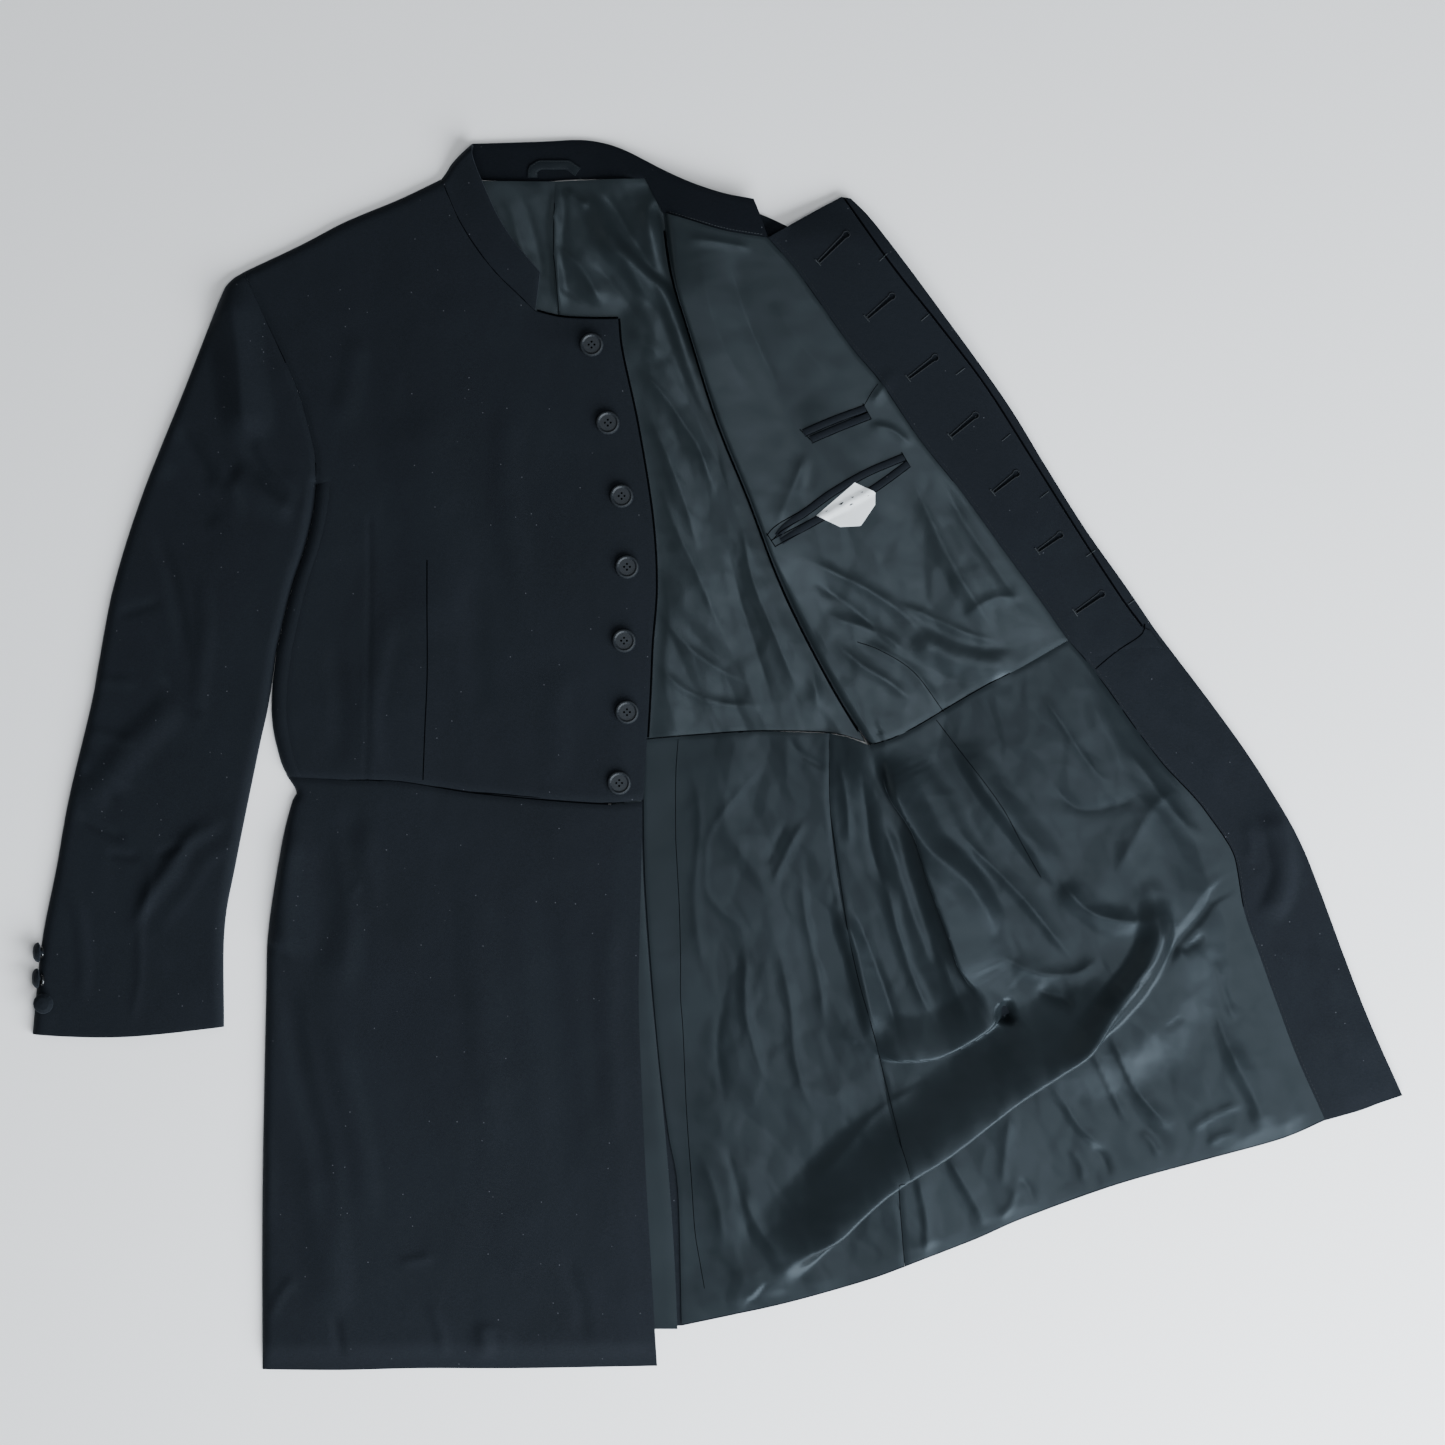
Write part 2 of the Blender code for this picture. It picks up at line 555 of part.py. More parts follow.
def dense(path, step=9.0):
    """A path's points with more between them, so that a tape follows what it lies on."""
    out = [np.array(path[0], float)]
    for a, b in zip(path, path[1:]):
        a, b = np.array(a, float), np.array(b, float)
        count = max(1, round(np.linalg.norm(b - a) / step))
        out += [a + (b - a) * k / count for k in range(1, count + 1)]
    return out


def laid_wall(name, grid, on, lift, thickness, finish):
    """A piece that lies on objects already made, over a grid of places."""
    shape = grid.shape[:-1]
    heights = np.array([height_on(on, x, y) for x, y in grid.reshape(-1, 2)]).reshape(shape)
    places = np.concatenate([grid, heights[..., None]], axis=-1).reshape(-1, 3)
    index = np.arange(shape[0] * shape[1]).reshape(shape)
    rings = [[int(index[i, j]), int(index[i + 1, j]), int(index[i + 1, j + 1]), int(index[i, j + 1])]
             for i in range(shape[0] - 1) for j in range(shape[1] - 1)]
    down, across = grid[1, 0] - grid[0, 0], grid[0, 1] - grid[0, 0]
    if down[0] * across[1] - down[1] * across[0] < 0:
        rings = [ring[::-1] for ring in rings]
    return closed_wall(name, places + (0, 0, lift + thickness), places + (0, 0, lift), rings, finish)


def height_on(on, x, y):
    """Height of the highest face of these objects at a place."""
    best = 0.0
    for thing in on:
        hit, place, _, _ = thing.ray_cast(Vector((x * MM, y * MM, 0.2)), Vector((0, 0, -1)))
        if hit:
            best = max(best, place.z / MM)
    return best


def turned(name, profile, segments, finish):
    """A solid of revolution about Z from (radius, height) stations, bottom to top."""
    points, faces = [], []
    rings = []
    for radius, height in profile:
        if radius == 0:
            rings.append([len(points)])
            points.append((0, 0, height))
        else:
            rings.append(list(range(len(points), len(points) + segments)))
            for k in range(segments):
                angle = 2 * math.pi * k / segments
                points.append((radius * math.cos(angle), radius * math.sin(angle), height))
    for a, b in zip(rings, rings[1:]):
        for k in range(segments):
            n = (k + 1) % segments
            if len(a) == 1:
                faces.append([a[0], b[n], b[k]])
            elif len(b) == 1:
                faces.append([a[k], a[n], b[0]])
            else:
                faces.append([a[k], a[n], b[n], b[k]])
    return add_object(name, points, faces, finish)


def cutter(name, outlines, low, high):
    """Upright prisms over these outlines, as one hidden object."""
    points, faces = [], []
    for outline in outlines:
        start, count = len(points), len(outline)
        points += [(x, y, z) for z in (low, high) for x, y in outline]
        faces.append(tuple(reversed(range(start, start + count))))
        faces.append(tuple(range(start + count, start + 2 * count)))
        for k in range(count):
            n = (k + 1) % count
            faces.append((start + k, start + n, start + count + n, start + count + k))
    made = add_object(name, points, faces, "horn", smooth=False)
    made.hide_render = True
    made.display_type = "WIRE"
    return made


def round_outline(x, y, radius, segments, first=0.0):
    return [(x + radius * math.cos(first + 2 * math.pi * k / segments),
             y + radius * math.sin(first + 2 * math.pi * k / segments)) for k in range(segments)]


def keyhole_outline(eye, bar):
    """A slit from its bar to a round eye, as one outline that runs counterclockwise."""
    eye, bar = Vector(eye), Vector(bar)
    way = (eye - bar).normalized()
    square = Vector((-way.y, way.x))
    half, radius = BUTTONHOLE_CUT / 2, BUTTONHOLE_EYE / 2
    neck = math.asin(half / radius)
    heading = math.atan2(way.y, way.x)
    points = [bar + square * half, bar - square * half]
    for k in range(EYE_SEGMENTS + 1):
        angle = heading - math.pi + neck + (2 * math.pi - 2 * neck) * k / EYE_SEGMENTS
        points.append(eye + Vector((math.cos(angle), math.sin(angle))) * radius)
    return [(p.x, p.y) for p in points]


def cut(thing, tool):
    modifier = thing.modifiers.new("cut", "BOOLEAN")
    modifier.operation = "DIFFERENCE"
    modifier.solver = "EXACT"
    modifier.object = tool


def stand_on(thing, x, y, on, lean=0.0):
    """Lowers a small piece, leant over about Y, until it almost touches the cloth or the surface."""
    turn = Matrix.Rotation(lean, 4, "Y")
    corners = [turn @ vertex.co / MM for vertex in thing.data.vertices]
    room = min(corner.z - height_on(on, x + corner.x, y + corner.y) for corner in corners)
    thing.matrix_world = Matrix.Translation(Vector((x, y, BUTTON_LIFT - room)) * MM) @ turn


def copy_of(thing, name):
    made = bpy.data.objects.new(name, thing.data)
    bpy.context.collection.objects.link(made)
    return made


def build_back():
    """The two halves of the back, the right back skirt and the lining of the back."""
    rim = ROLL_CLEARANCE
    flat = flat_layer(WOOL)
    right = patch(edge(("right shoulder", 4), ("back neck right", 3)), edge(("back waist right", 7)),
                  edge(("right armhole", 4), ("underarm", 3), ("right side", 2)),
                  edge(("centre back", 9)))
    right = inset(right, left=rim, bottom=1)
    right[0, :len(BACK_SHOULDER_DROPS), 1] -= BACK_SHOULDER_DROPS
    wall("back_right", sheet(flat, right), -WOOL, 0, "wool")
    left = patch(edge(("back neck left", 2), ("left shoulder", 4)), edge(("back waist left", 6)),
                 edge(("centre back", 9)), edge(("left armhole", 4), ("left side", 5)))
    wall("back_left", sheet(flat, left), -WOOL, 0, "wool")
    skirt = patch(edge(("back waist right", 5)), edge(("right back hem", 5)),
                  edge(("right skirt side", SKIRT_SIDE_STEPS)),
                  edge(("right shell vent", 8)))
    skirt = inset(skirt, left=rim + 1)
    wall("back_skirt_right", sheet(flat, skirt), -WOOL, 0, "wool")
    right = patch(edge(("right shoulder", 2), ("back neck right", 4)), edge(("back waist right", 6)),
                  edge(("right armhole", 5), ("underarm", 3), ("right side", 4)),
                  edge(("centre back", 12)))
    right = inset(right, left=rim * 2, bottom=1)
    right[0, :len(LINING_SHOULDER_DROPS), 1] -= LINING_SHOULDER_DROPS
    wall("back_lining_right", sheet(back_lining_layer, right), -SATIN, 0, "satin")
    left = patch(edge(("back neck left", 4), ("left shoulder", 5)), edge(("back waist left", 9)),
                 edge(("centre back", 12)), edge(("left armhole", 5), ("left side", 7)))
    left = inset(left, right=1, bottom=1)
    wall("back_lining_left", sheet(back_lining_layer, left), -SATIN, 0, "satin")


def build_right_front():
    """The closed right front: bodice, side body and skirt."""
    across = rolled(length_of("right shoulder"), 4, start=True, steps=BODY_STEPS)
    top = edge(("right shoulder", across), ("right neckline", NECK_STEPS), ("right front top", 3))
    columns = len(top) - 1
    seam = len(BODY_STEPS) - 1
    waist = length_of("right waist")
    bottom = edge(("right waist", rolled(waist, columns - seam, start=True, steps=BODY_STEPS)))
    left = edge(("right armhole", ARMHOLE_STEPS), ("underarm", UNDERARM_STEPS), ("right side", 4))
    rows = len(left) - 1
    down = rolled(length_of("right front edge"), rows - len(ROLL_STEPS) + 1, start=True)
    right = edge(("right front edge", down))
    body = sheet(right_layer, patch(top, bottom, left, right))
    side = np.zeros((rows, columns), bool)
    side[len(ARMHOLE_STEPS) - 1:, :seam] = True
    wall("right_side_body", body, -WOOL, 0, "wool", cells=side, gap=WIDE_SEAM_PULL)
    front = wall("right_front", body, -WOOL, 0, "wool", cells=~side)
    across = rolled(waist, 9, start=True)
    down = rolled(length_of("right skirt side"), 13, end=True, steps=HEM_STEPS)
    skirt = patch(edge(("right waist", across)), edge(("right hem", across)),
                  edge(("right skirt side", down)), edge(("right skirt front", down)))
    wall("right_front_skirt", sheet(right_layer, skirt), -WOOL, 0, "wool")
    return front


def under_panel(top, bottom, left, right, clearance):
    """The flat under panel of a sleeve, inside the two turned-down sides of the upper one."""
    armhole = smooth_line(EDGES[top.lstrip("-")])
    armhole = armhole[::-1] if top.startswith("-") else armhole
    grid = patch(edge((top, 4)), edge((bottom, 4)), edge(*left), edge(*right))
    grid = inset(grid, left=clearance, right=clearance)
    grid[0] = at_fractions(armhole, np.linspace(UNDER_PANEL_CORNER, 1 - UNDER_PANEL_CORNER, 5))
    return sheet(flat_layer(UNDER_SLEEVE_WALL), drawn_in(grid, UNDER_PANEL_DROP))


def build_right_sleeve():
    """The right sleeve lies on its under panel, and its upper panel turns down at both sides."""
    bottom = edge(("right cuff", rolled(length_of("right cuff"), 6, start=True, end=True)))
    grid = patch(edge(("right armhole", ARMHOLE_STEPS)), bottom, edge(("right sleeve back", 18)),
                 edge(("underarm", UNDERARM_STEPS), ("right sleeve front", 18 - UNDERARM_STEPS)))
    sleeve = wall("right_sleeve_upper", sheet(right_layer, grid), -WOOL, 0, "wool",
                  gap=WIDE_SEAM_PULL)
    under = under_panel("right armhole", "right cuff", [("right sleeve back", 10)],
                        [("underarm", 3), ("right sleeve front", 7)], ROLL_CLEARANCE)
    wall("right_sleeve_under", under, -UNDER_SLEEVE_WALL, 0, "wool")
    return sleeve


def build_left_sleeve():
    """The left sleeve lies flat under the opened left front."""
    across = rolled(length_of("left cuff"), 4, start=True, end=True)
    grid = patch(edge(("-left armhole", across)), edge(("-left cuff", across)),
                 edge(("left sleeve front", 10)), edge(("left sleeve back", 10)))
    grid = drawn_in(grid, LEFT_ARMHOLE_DROP)
    wall("left_sleeve_upper", sheet(left_sleeve_layer, grid), -UNDER_SLEEVE_WALL, 0, "wool")
    under = under_panel("-left armhole", "-left cuff", [("left sleeve front", 8)],
                        [("left sleeve back", 8)], LEFT_SLEEVE_CLEARANCE)
    wall("left_sleeve_under", under, -UNDER_SLEEVE_WALL, 0, "wool")


def build_left_front():
    """The opened left front: shell, lining, and the upper stretches of the facing."""
    rows = 14
    roll_columns = len(ROLL_STEPS) - 1
    lining = patch(edge(("collar left seam", rolled(length_of("collar left seam"), 5, start=True))),
                   edge(("left waist", rolled(length_of("left waist"), 5, start=True))),
                   edge(("left fold", rows)), edge(("facing seam", rows)))
    fly = patch(edge(("fly top", 3)), edge(("fly waist", 3)),
                edge(("facing seam", rows)), edge(("fly edge", rows)))
    rim = patch(edge(("front edge top", 1)), edge(("edge waist", 1)),
                edge(("fly edge", rows)), edge(("left front edge", rows)))
    seam = lining.shape[1] - 1
    front = sheet(left_front_layer, beside(lining, fly, rim))
    wall("left_front", front[:, roll_columns:], SHELL_LOW, SHELL_HIGH, "wool")
    made = wall("left_front_lining", front[:, :seam + 1], -SATIN, 0, "satin",
                floor=LINING_LEVEL + LAYER_GAP)
    return made, front[:, seam:]


def build_left_skirt(upper_facing):
    """The whole left skirt from the vent to the front edge, its linings and the long facing."""
    down = np.concatenate([[0], np.linspace(FLY_TAIL_SHARE, 1, 16)])
    edge_down = np.concatenate([[0], np.linspace(FLY_TAIL_SHARE / 2, 1, 16)])
    vent = patch(edge(("left shell waist", 1)), edge(("left shell hem", 1)),
                 edge(("left shell vent", down)), edge(("vent border", down)))
    back = patch(edge(("back waist left", [0, 0.2, 0.4, 0.6, 0.84])), edge(("left back hem", 4)),
                 edge(("vent border", down)), edge(("side back seam", down)))
    front = patch(edge(("skirt waist", 1), ("left waist", 11)), edge(("left front hem", 12)),
                  edge(("side back seam", down)), edge(("skirt facing seam", down)))
    facing = patch(edge(("fly waist", 3)), edge(("facing hem", 3)),
                   edge(("skirt facing seam", down)), edge(("skirt fly line", edge_down)))
    border = patch(edge(("edge waist", 1)), edge(("edge hem", 1)),
                   edge(("skirt fly line", edge_down)), edge(("left skirt edge", edge_down)))
    skirt = sheet(left_skirt_layer, beside(vent, back, front, facing, border))
    vent_seam = vent.shape[1] - 1
    side_seam = vent_seam + back.shape[1] - 1
    facing_seam = side_seam + front.shape[1] - 1
    wall("back_skirt_left", skirt[:, :side_seam + 1], SHELL_LOW, SHELL_HIGH, "wool")
    wall("left_front_skirt", skirt[:, side_seam:], SHELL_LOW, SHELL_HIGH, "wool")
    wall("back_skirt_lining", skirt[:, vent_seam:side_seam + 1], -SATIN, 0, "satin")
    wall("left_skirt_lining", skirt[:, side_seam:facing_seam + 1], -SATIN, 0, "satin")
    facing = below(upper_facing, skirt[:, facing_seam:])
    wall("left_facing", facing, -SATIN, 0, "wool")
    fly = wall("left_fly", facing[:len(upper_facing) + 1, :-1], LAYER_GAP, LAYER_GAP + SATIN, "wool")
    return fly


def build_vent_underlay():
    """The satin-faced extension that shows beside the right skirt's front edge."""
    grid = patch(edge(("vent top", 2)), edge(("vent hem", 2)),
                 edge(("vent hidden", 9)), edge(("vent edge", 9)))
    wall("vent_underlay", sheet(flat_layer(VENT_LEVEL), grid), -VENT_WALL, 0, "satin")


def build_collar():
    """The stand collar: its right half turned over, its back and left half flat, lining side up."""
    right = patch(edge(("collar turn", 4)), edge(("collar right end", 4)),
                  edge(("right neckline", NECK_STEPS)), edge(("collar right free", NECK_STEPS)))
    wall("collar_right", sheet(right_collar_layer, right), -COLLAR_WALL, 0, "wool",
         gap=WIDE_SEAM_PULL)
    seam = edge(("collar back seam", 8), ("collar left corner", 2), ("collar left seam", 5))
    top = edge(("collar top", len(seam) - 1))
    back = patch(top, seam, edge(("collar start", 3)), edge(("collar left end", 3)))
    return wall("collar_back", sheet(back_collar_layer, back), -COLLAR_WALL, 0, "wool")


def build_buttonholes(fly):
    """Seven keyhole slits through the strip on the facing."""
    outlines = [keyhole_outline(eye, bar) for eye, bar in BUTTONHOLES]
    cut(fly, cutter("buttonhole_cutter", outlines, -1, 40))


def build_hanger_loop(collar):
    grid = tape(dense(HANGER_LOOP, 12.0), LOOP_WIDTH)
    laid_wall("hanger_loop", grid, [collar], LAYER_GAP, SATIN, "satin")


def build_pockets(lining):
    """Each inner pocket shows the two wool lips of its slit, and a plain size label hangs out of
    the lower one."""
    for name, path in POCKET_LIPS.items():
        laid_wall(name, tape(dense(path, 7.0), JET_WIDTH), lining, TRIM_LIFT, JET_WALL, "wool")
    grid = patch(*[np.array([a, ((a[0] + b[0]) / 2, (a[1] + b[1]) / 2), b], float)
                   for a, b in LABEL_SIDES])
    laid_wall("size_label", grid, lining, TRIM_LIFT + JET_WALL + TRIM_LIFT, SATIN, "label")


def build_front_buttons(front):
    """Seven buttons with four holes down the closed front."""
    radius, rim, well = BUTTON_RADIUS, BUTTON_RIM, BUTTON_WELL
    profile = [(0, 0), (radius - 1.6, 0), (radius, 1.3), (radius - 0.7, rim - 0.3),
               (radius - 1.8, rim), (radius - 3.2, well), (0, well)]
    blank = turned("front_button_1", profile, BUTTON_SEGMENTS, "horn")
    spread = BUTTON_HOLE_SPREAD
    places = [(-spread, 0), (0, -spread), (0, spread), (spread, 0)]
    outlines = [round_outline(x, y, BUTTON_HOLE_RADIUS, 6) for x, y in places]
    holes = cutter("button_hole_cutter", outlines, -1, 6)
    cut(blank, holes)
    solid = blank.evaluated_get(bpy.context.evaluated_depsgraph_get())
    blank.data = bpy.data.meshes.new_from_object(solid)
    blank.modifiers.clear()
    bpy.data.objects.remove(holes)
    for k, (x, y) in enumerate(FRONT_BUTTONS):
        button = blank if k == 0 else copy_of(blank, f"front_button_{k + 1}")
        stand_on(button, x, y, [front])


def build_cuff_buttons(sleeve):
    """Three cloth-covered buttons on shanks at the right cuff, the upper two of them on edge."""
    radius, height = CUFF_BUTTON_RADIUS, CUFF_BUTTON_HEIGHT
    profile = [(0, -SHANK_HEIGHT), (SHANK_RADIUS, -SHANK_HEIGHT), (SHANK_RADIUS, 0), (radius - 1.2, 0),
               (radius, 1.0), (radius - 0.6, 2.6), (radius * 0.6, height - 0.8), (0, height)]
    first = turned("right_cuff_button_1", profile, CUFF_BUTTON_SEGMENTS, "wool")
    for k, (x, y, lean) in enumerate(RIGHT_CUFF_BUTTONS):
        button = first if k == 0 else copy_of(first, f"right_cuff_button_{k + 1}")
        stand_on(button, x, y, [sleeve], lean=-math.radians(lean))


def centre_on_box():
    """Moves the whole coat so that the middle of its box stands over the origin."""
    bpy.context.view_layer.update()
    solids = [thing for thing in bpy.context.scene.objects if not thing.hide_render]
    corners = np.array([thing.matrix_world @ vertex.co for thing in solids
                        for vertex in thing.data.vertices])
    middle = (corners.min(axis=0) + corners.max(axis=0)) / 2
    for thing in bpy.context.scene.objects:
        thing.matrix_world = Matrix.Translation((-middle[0], -middle[1], 0)) @ thing.matrix_world


def build_all():
    clear_scene()
    build_back()
    front = build_right_front()
    right_sleeve = build_right_sleeve()
    build_left_sleeve()
    lining, upper_facing = build_left_front()
    fly = build_left_skirt(upper_facing)
    build_vent_underlay()
    collar = build_collar()
    build_buttonholes(fly)
    build_hanger_loop(collar)
    build_pockets([lining])
    build_front_buttons(front)
    build_cuff_buttons(right_sleeve)
    centre_on_box()


build_all()
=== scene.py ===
"""Looks of a black wool frock coat laid out on its back, its left front thrown open.

Every length is in millimetres as in the coat's pattern: x runs to the right, y towards the collar
and z up from the surface. Each cloth piece is a thin shell on the form of the solid that it stands
for, on the same layer surfaces, with finer creases added. "Right" and "left" are the wearer's.
Most lines are lists of their stations' x,y, one station after the other.
"""

import math

import bpy
import numpy as np
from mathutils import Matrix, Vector


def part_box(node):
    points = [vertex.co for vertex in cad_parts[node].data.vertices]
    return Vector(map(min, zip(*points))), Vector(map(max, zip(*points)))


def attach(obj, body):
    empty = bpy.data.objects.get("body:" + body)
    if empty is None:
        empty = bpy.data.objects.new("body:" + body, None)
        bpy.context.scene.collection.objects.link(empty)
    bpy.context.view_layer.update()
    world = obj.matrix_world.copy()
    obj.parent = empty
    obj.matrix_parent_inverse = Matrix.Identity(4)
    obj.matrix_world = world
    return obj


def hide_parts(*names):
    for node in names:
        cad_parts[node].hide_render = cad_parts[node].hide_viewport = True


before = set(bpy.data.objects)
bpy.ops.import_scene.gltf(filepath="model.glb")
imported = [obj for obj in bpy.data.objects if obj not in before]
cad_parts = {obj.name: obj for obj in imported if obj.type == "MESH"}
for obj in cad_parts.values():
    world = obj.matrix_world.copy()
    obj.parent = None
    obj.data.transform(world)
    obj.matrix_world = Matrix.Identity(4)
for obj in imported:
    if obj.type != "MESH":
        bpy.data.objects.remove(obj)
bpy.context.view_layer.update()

MM = 0.001

# The photograph: its side in pixels, its scale, the pattern's origin in it, its middle in the pattern
PHOTO_SIZE = 1445
PIXELS_PER_MM = 1.2
PHOTO_ORIGIN = (716.5, 756.0)
PHOTO_MIDDLE = (5.0, 27.9)
CAMERA_LENS = 100.0
CAMERA_SENSOR = 36.0
# The height above the surface at which the frame is as wide as the photograph
CAMERA_FOCUS = 6.0

# Cloth
WOOL = 1.8
SATIN = 1.0
COLLAR_WALL = 2.5
LAYER_GAP = 0.3
WOOL_SHELL = 1.5
SATIN_SHELL = 0.7
COLLAR_SHELL = 2.2
SLEEVE_UNDER_SHELL = 1.3
RIM_PULL = 0.04
RIM_ROUND = 0.2
SURFACE_GAP = 0.02
LEAST_SHELL = 0.1
TWILL_ANGLE = 45

# Sizes of the grids' cells
STEP = 3.2
SATIN_STEP = 2.2
HIDDEN_STEP = 9.0
UNDER_STEP = 5.0
COLLAR_STEP = 3.2
TRIM_STEP = 2.5
# Closer places beside an edge that turns down
ROLL_STEPS = (0.0, 0.7, 1.6, 2.9, 4.6, 6.8, 9.5)

# Heights of the layers, and over which reach they change
LINING_LEVEL = WOOL + LAYER_GAP + SATIN
LINING_FLOOR = LINING_LEVEL - 0.1
BACK_LEVEL = 1.7
SLEEVE_UNDER_LEVEL = 1.5
RIGHT_LEVEL = 7.2
RIGHT_EDGE_LEVEL = 5.8
LEFT_OVER_SLEEVE = 10.2
LEFT_SLEEVE_LEVEL = 6.4
VENT_LEVEL = 3.6
COLLAR_FREE_LEVEL = 13.0
COLLAR_SEAM_DROP = 0.5
COLLAR_RISE_REACH = 40.0
COLLAR_TURN_RADIUS = 6.0
COLLAR_LEFT_START, COLLAR_LEFT_REACH = -105.0, 95.0
ROLL_RADIUS = 9.0
LEFT_ROLL = 5.0
SLEEVE_ROLL = 7.0
HEM_DROOP_REACH = 24.0
FREE_EDGE_REACH = 25.0
LEFT_SLOPE_REACH = 46.0
SKIRT_RISE_START, SKIRT_RISE_REACH = 60.0, 70.0
SKIRT_SWELL_START, SKIRT_SWELL_REACH = -40.0, 60.0
SKIRT_HEM_REACH, SKIRT_HEM_SHARE = 14.0, 0.35
SHELL_HIGH = -(SATIN + LAYER_GAP)
SHELL_DROP = 0.5
SIDE_BODY_WIDTH = 12.0
FLY_TAIL_SHARE = 0.045
FACING_WIDTH = 76.0
FRONT_EDGE_ROLL = 1.3
FRONT_ROLL_PLACE, FRONT_ROLL_REACH = 5.0, 7.0
WAIST_BLEND_REACH = 24.0

# The satin's swell: its mean height, and the reach beside an edge in which it grows
BACK_SATIN_LIFT = 1.7
BESIDE_FRONT_REACH = 24.0
BESIDE_FOLD_REACH = 16.0
LEFT_SATIN_LIFT = 1.2
BESIDE_FACING_REACH = 26.0
# It is calm above this place
CALM_START, CALM_REACH, CALM_SHARE = 290.0, 150.0, 0.15
# Crumpling: height, length of a facet, seed, direction in degrees, stretch
CRUMPLES = {
    "right": [(0.7, 120, 11, 95, 1.6), (0.22, 46, 12, 80, 1.7)],
    "back": [(1.2, 64, 5, 114, 2.2), (0.5, 31, 8, 122, 2.0), (0.2, 15, 9, 100, 1.7)],
    "left": [(1.5, 84, 21, 116, 1.9), (0.6, 40, 24, 126, 1.9), (0.26, 18, 27, 100, 1.7)],
}
# Soft swell: height, wavelength, seed, direction in degrees, stretch
RIPPLES = {
    "right": (0.1, 26, 12, 0, 1.0),
    "vent": (0.3, 40, 51, 95, 3.0),
    "right collar": (0.15, 30, 31, 0, 1.0),
    "back collar": (0.2, 45, 32, 0, 1.0),
}
UNDERSIDE_SWELL = 0.25
# The swell's number of waves, what they add up to, and their lengths as shares of the wavelength
RIPPLE_WAVES, RIPPLE_SHARE, RIPPLE_SPREAD = 10, 0.45, (0.7, 1.6)
# The crumpling's scattered points repeat after so many facets, and stay inside their cells
SCATTER, SCATTER_SPREAD = 32, (0.05, 0.95)
# The swell that bends the facets' lines: its wavelength and its height, as shares of a facet
BEND_SIZE, BEND_REACH = 2.2, 0.2
FAR = 1e9
# Reaches on both sides, added up, below which a crease gets shallower
FULL_CREASE_REACH = {"right": 12.0, "back": 16.0, "left": 21.0}
# The satin's creases below this height are sharp, and reach further by this factor
LOW_CREASE = 3
SATIN_CREASE_REACH = 1.25

# A sheet's least share of its rectangle
LEAST_SHEET_SHARE = 0.31
# How cloth() makes a lining, and the wool shell of the open left side
LINING = {"thickness": SATIN_SHELL, "slot": "lining"}
SHELL = {"leans": True, "high": SHELL_HIGH}
# What the strip's and the facing's stitches lie on
FLY = ["left_fly_cloth"]
FACING = ["left_facing_cloth", "left_fly_cloth"]

# Trimmings
BUTTON_HOLE_SPREAD = 2.4
BUTTON_WELL = 1.3
SHANK_LOOPS = [(-562.1, -163.3), (-561.3, -186.7)]
LOOP_WIDTH = 8.0
LOOP_STITCH = 2.9
JET_WIDTH = 5.6
BUTTONHOLE_CUT = 2.6
BUTTONHOLE_TIP = 1.2
BUTTONHOLE_EYE = 4.4
SLIT_CUTTER_ENDS = (-1, 40)
PURL_GROW = 0.75
PURL, BAR, TACK = 0.45, 0.5, 0.4
BAR_OFFSET, BAR_HALF = 1.4, 3.6
TACK_HALF = 4.6
THREAD = 0.3
# A stitch's share of the pitch, and how deep its ends are sunk
STITCH_SHARE = 0.62
STITCH_SUNK = 0.25
# How far the line across a pocket's end goes beyond the middles of its lips
SLIT_END_UP, SLIT_END_DOWN = 4.5, 3.5
# Thread in a button's hole: how far it leans to the middle, and how deep it is there
HOLE_THREAD = [(0.0, 1.4), (0.1, 0.9), (0.3, 0.4)]
HOLE_THREAD_RADIUS = 0.6
# The bow of a cuff button's shank
SHANK_LIFT, SHANK_LEAN, SHANK_HALF, SHANK_RISE, SHANK_RADIUS = 0.6, 0.6, 3.4, 2.6, 1.5

FLOOR_HALF, FLOOR_LEVEL = 6.0, -0.0006
SKY_COLOUR, SKY_STRENGTH = (0.84, 0.92, 1.0, 1.0), 0.17
# name, place in metres, width and height, watts, colour
LIGHTS = [
    ("window", (1.05, -1.4, 1.0), (2.6, 1.3), 170.0, (0.82, 0.91, 1.0)),
    ("ceiling", (1.15, -0.25, 4.2), (2.2, 2.2), 84.0, (0.86, 0.93, 1.0)),
    ("bounce", (-2.0, 1.8, 2.2), (2.0, 1.6), 12.0, (0.92, 0.98, 1.0)),
]

FRONT_BUTTONS = [(-104, 342.5), (-90.5, 277.5), (-79, 216.5), (-74.5, 157.5), (-77, 96),
                 (-74.5, 36.5), (-81, -22.5)]
HANGER_LOOP = [(-153.5, 482.5), (-153.5, 489), (-147.5, 493), (-124, 493), (-115.5, 487)]
# Each buttonhole's eye and bar
BUTTONHOLES = [((108, 434), (85.5, 411.5)), ((146, 382.5), (126, 365)), ((182, 331.5), (160.5, 315)),
               ((215.5, 283.5), (195.5, 266.5)), ((249.5, 235), (231, 220)), ((286, 184), (268, 171)),
               ((321, 135), (299.5, 120))]
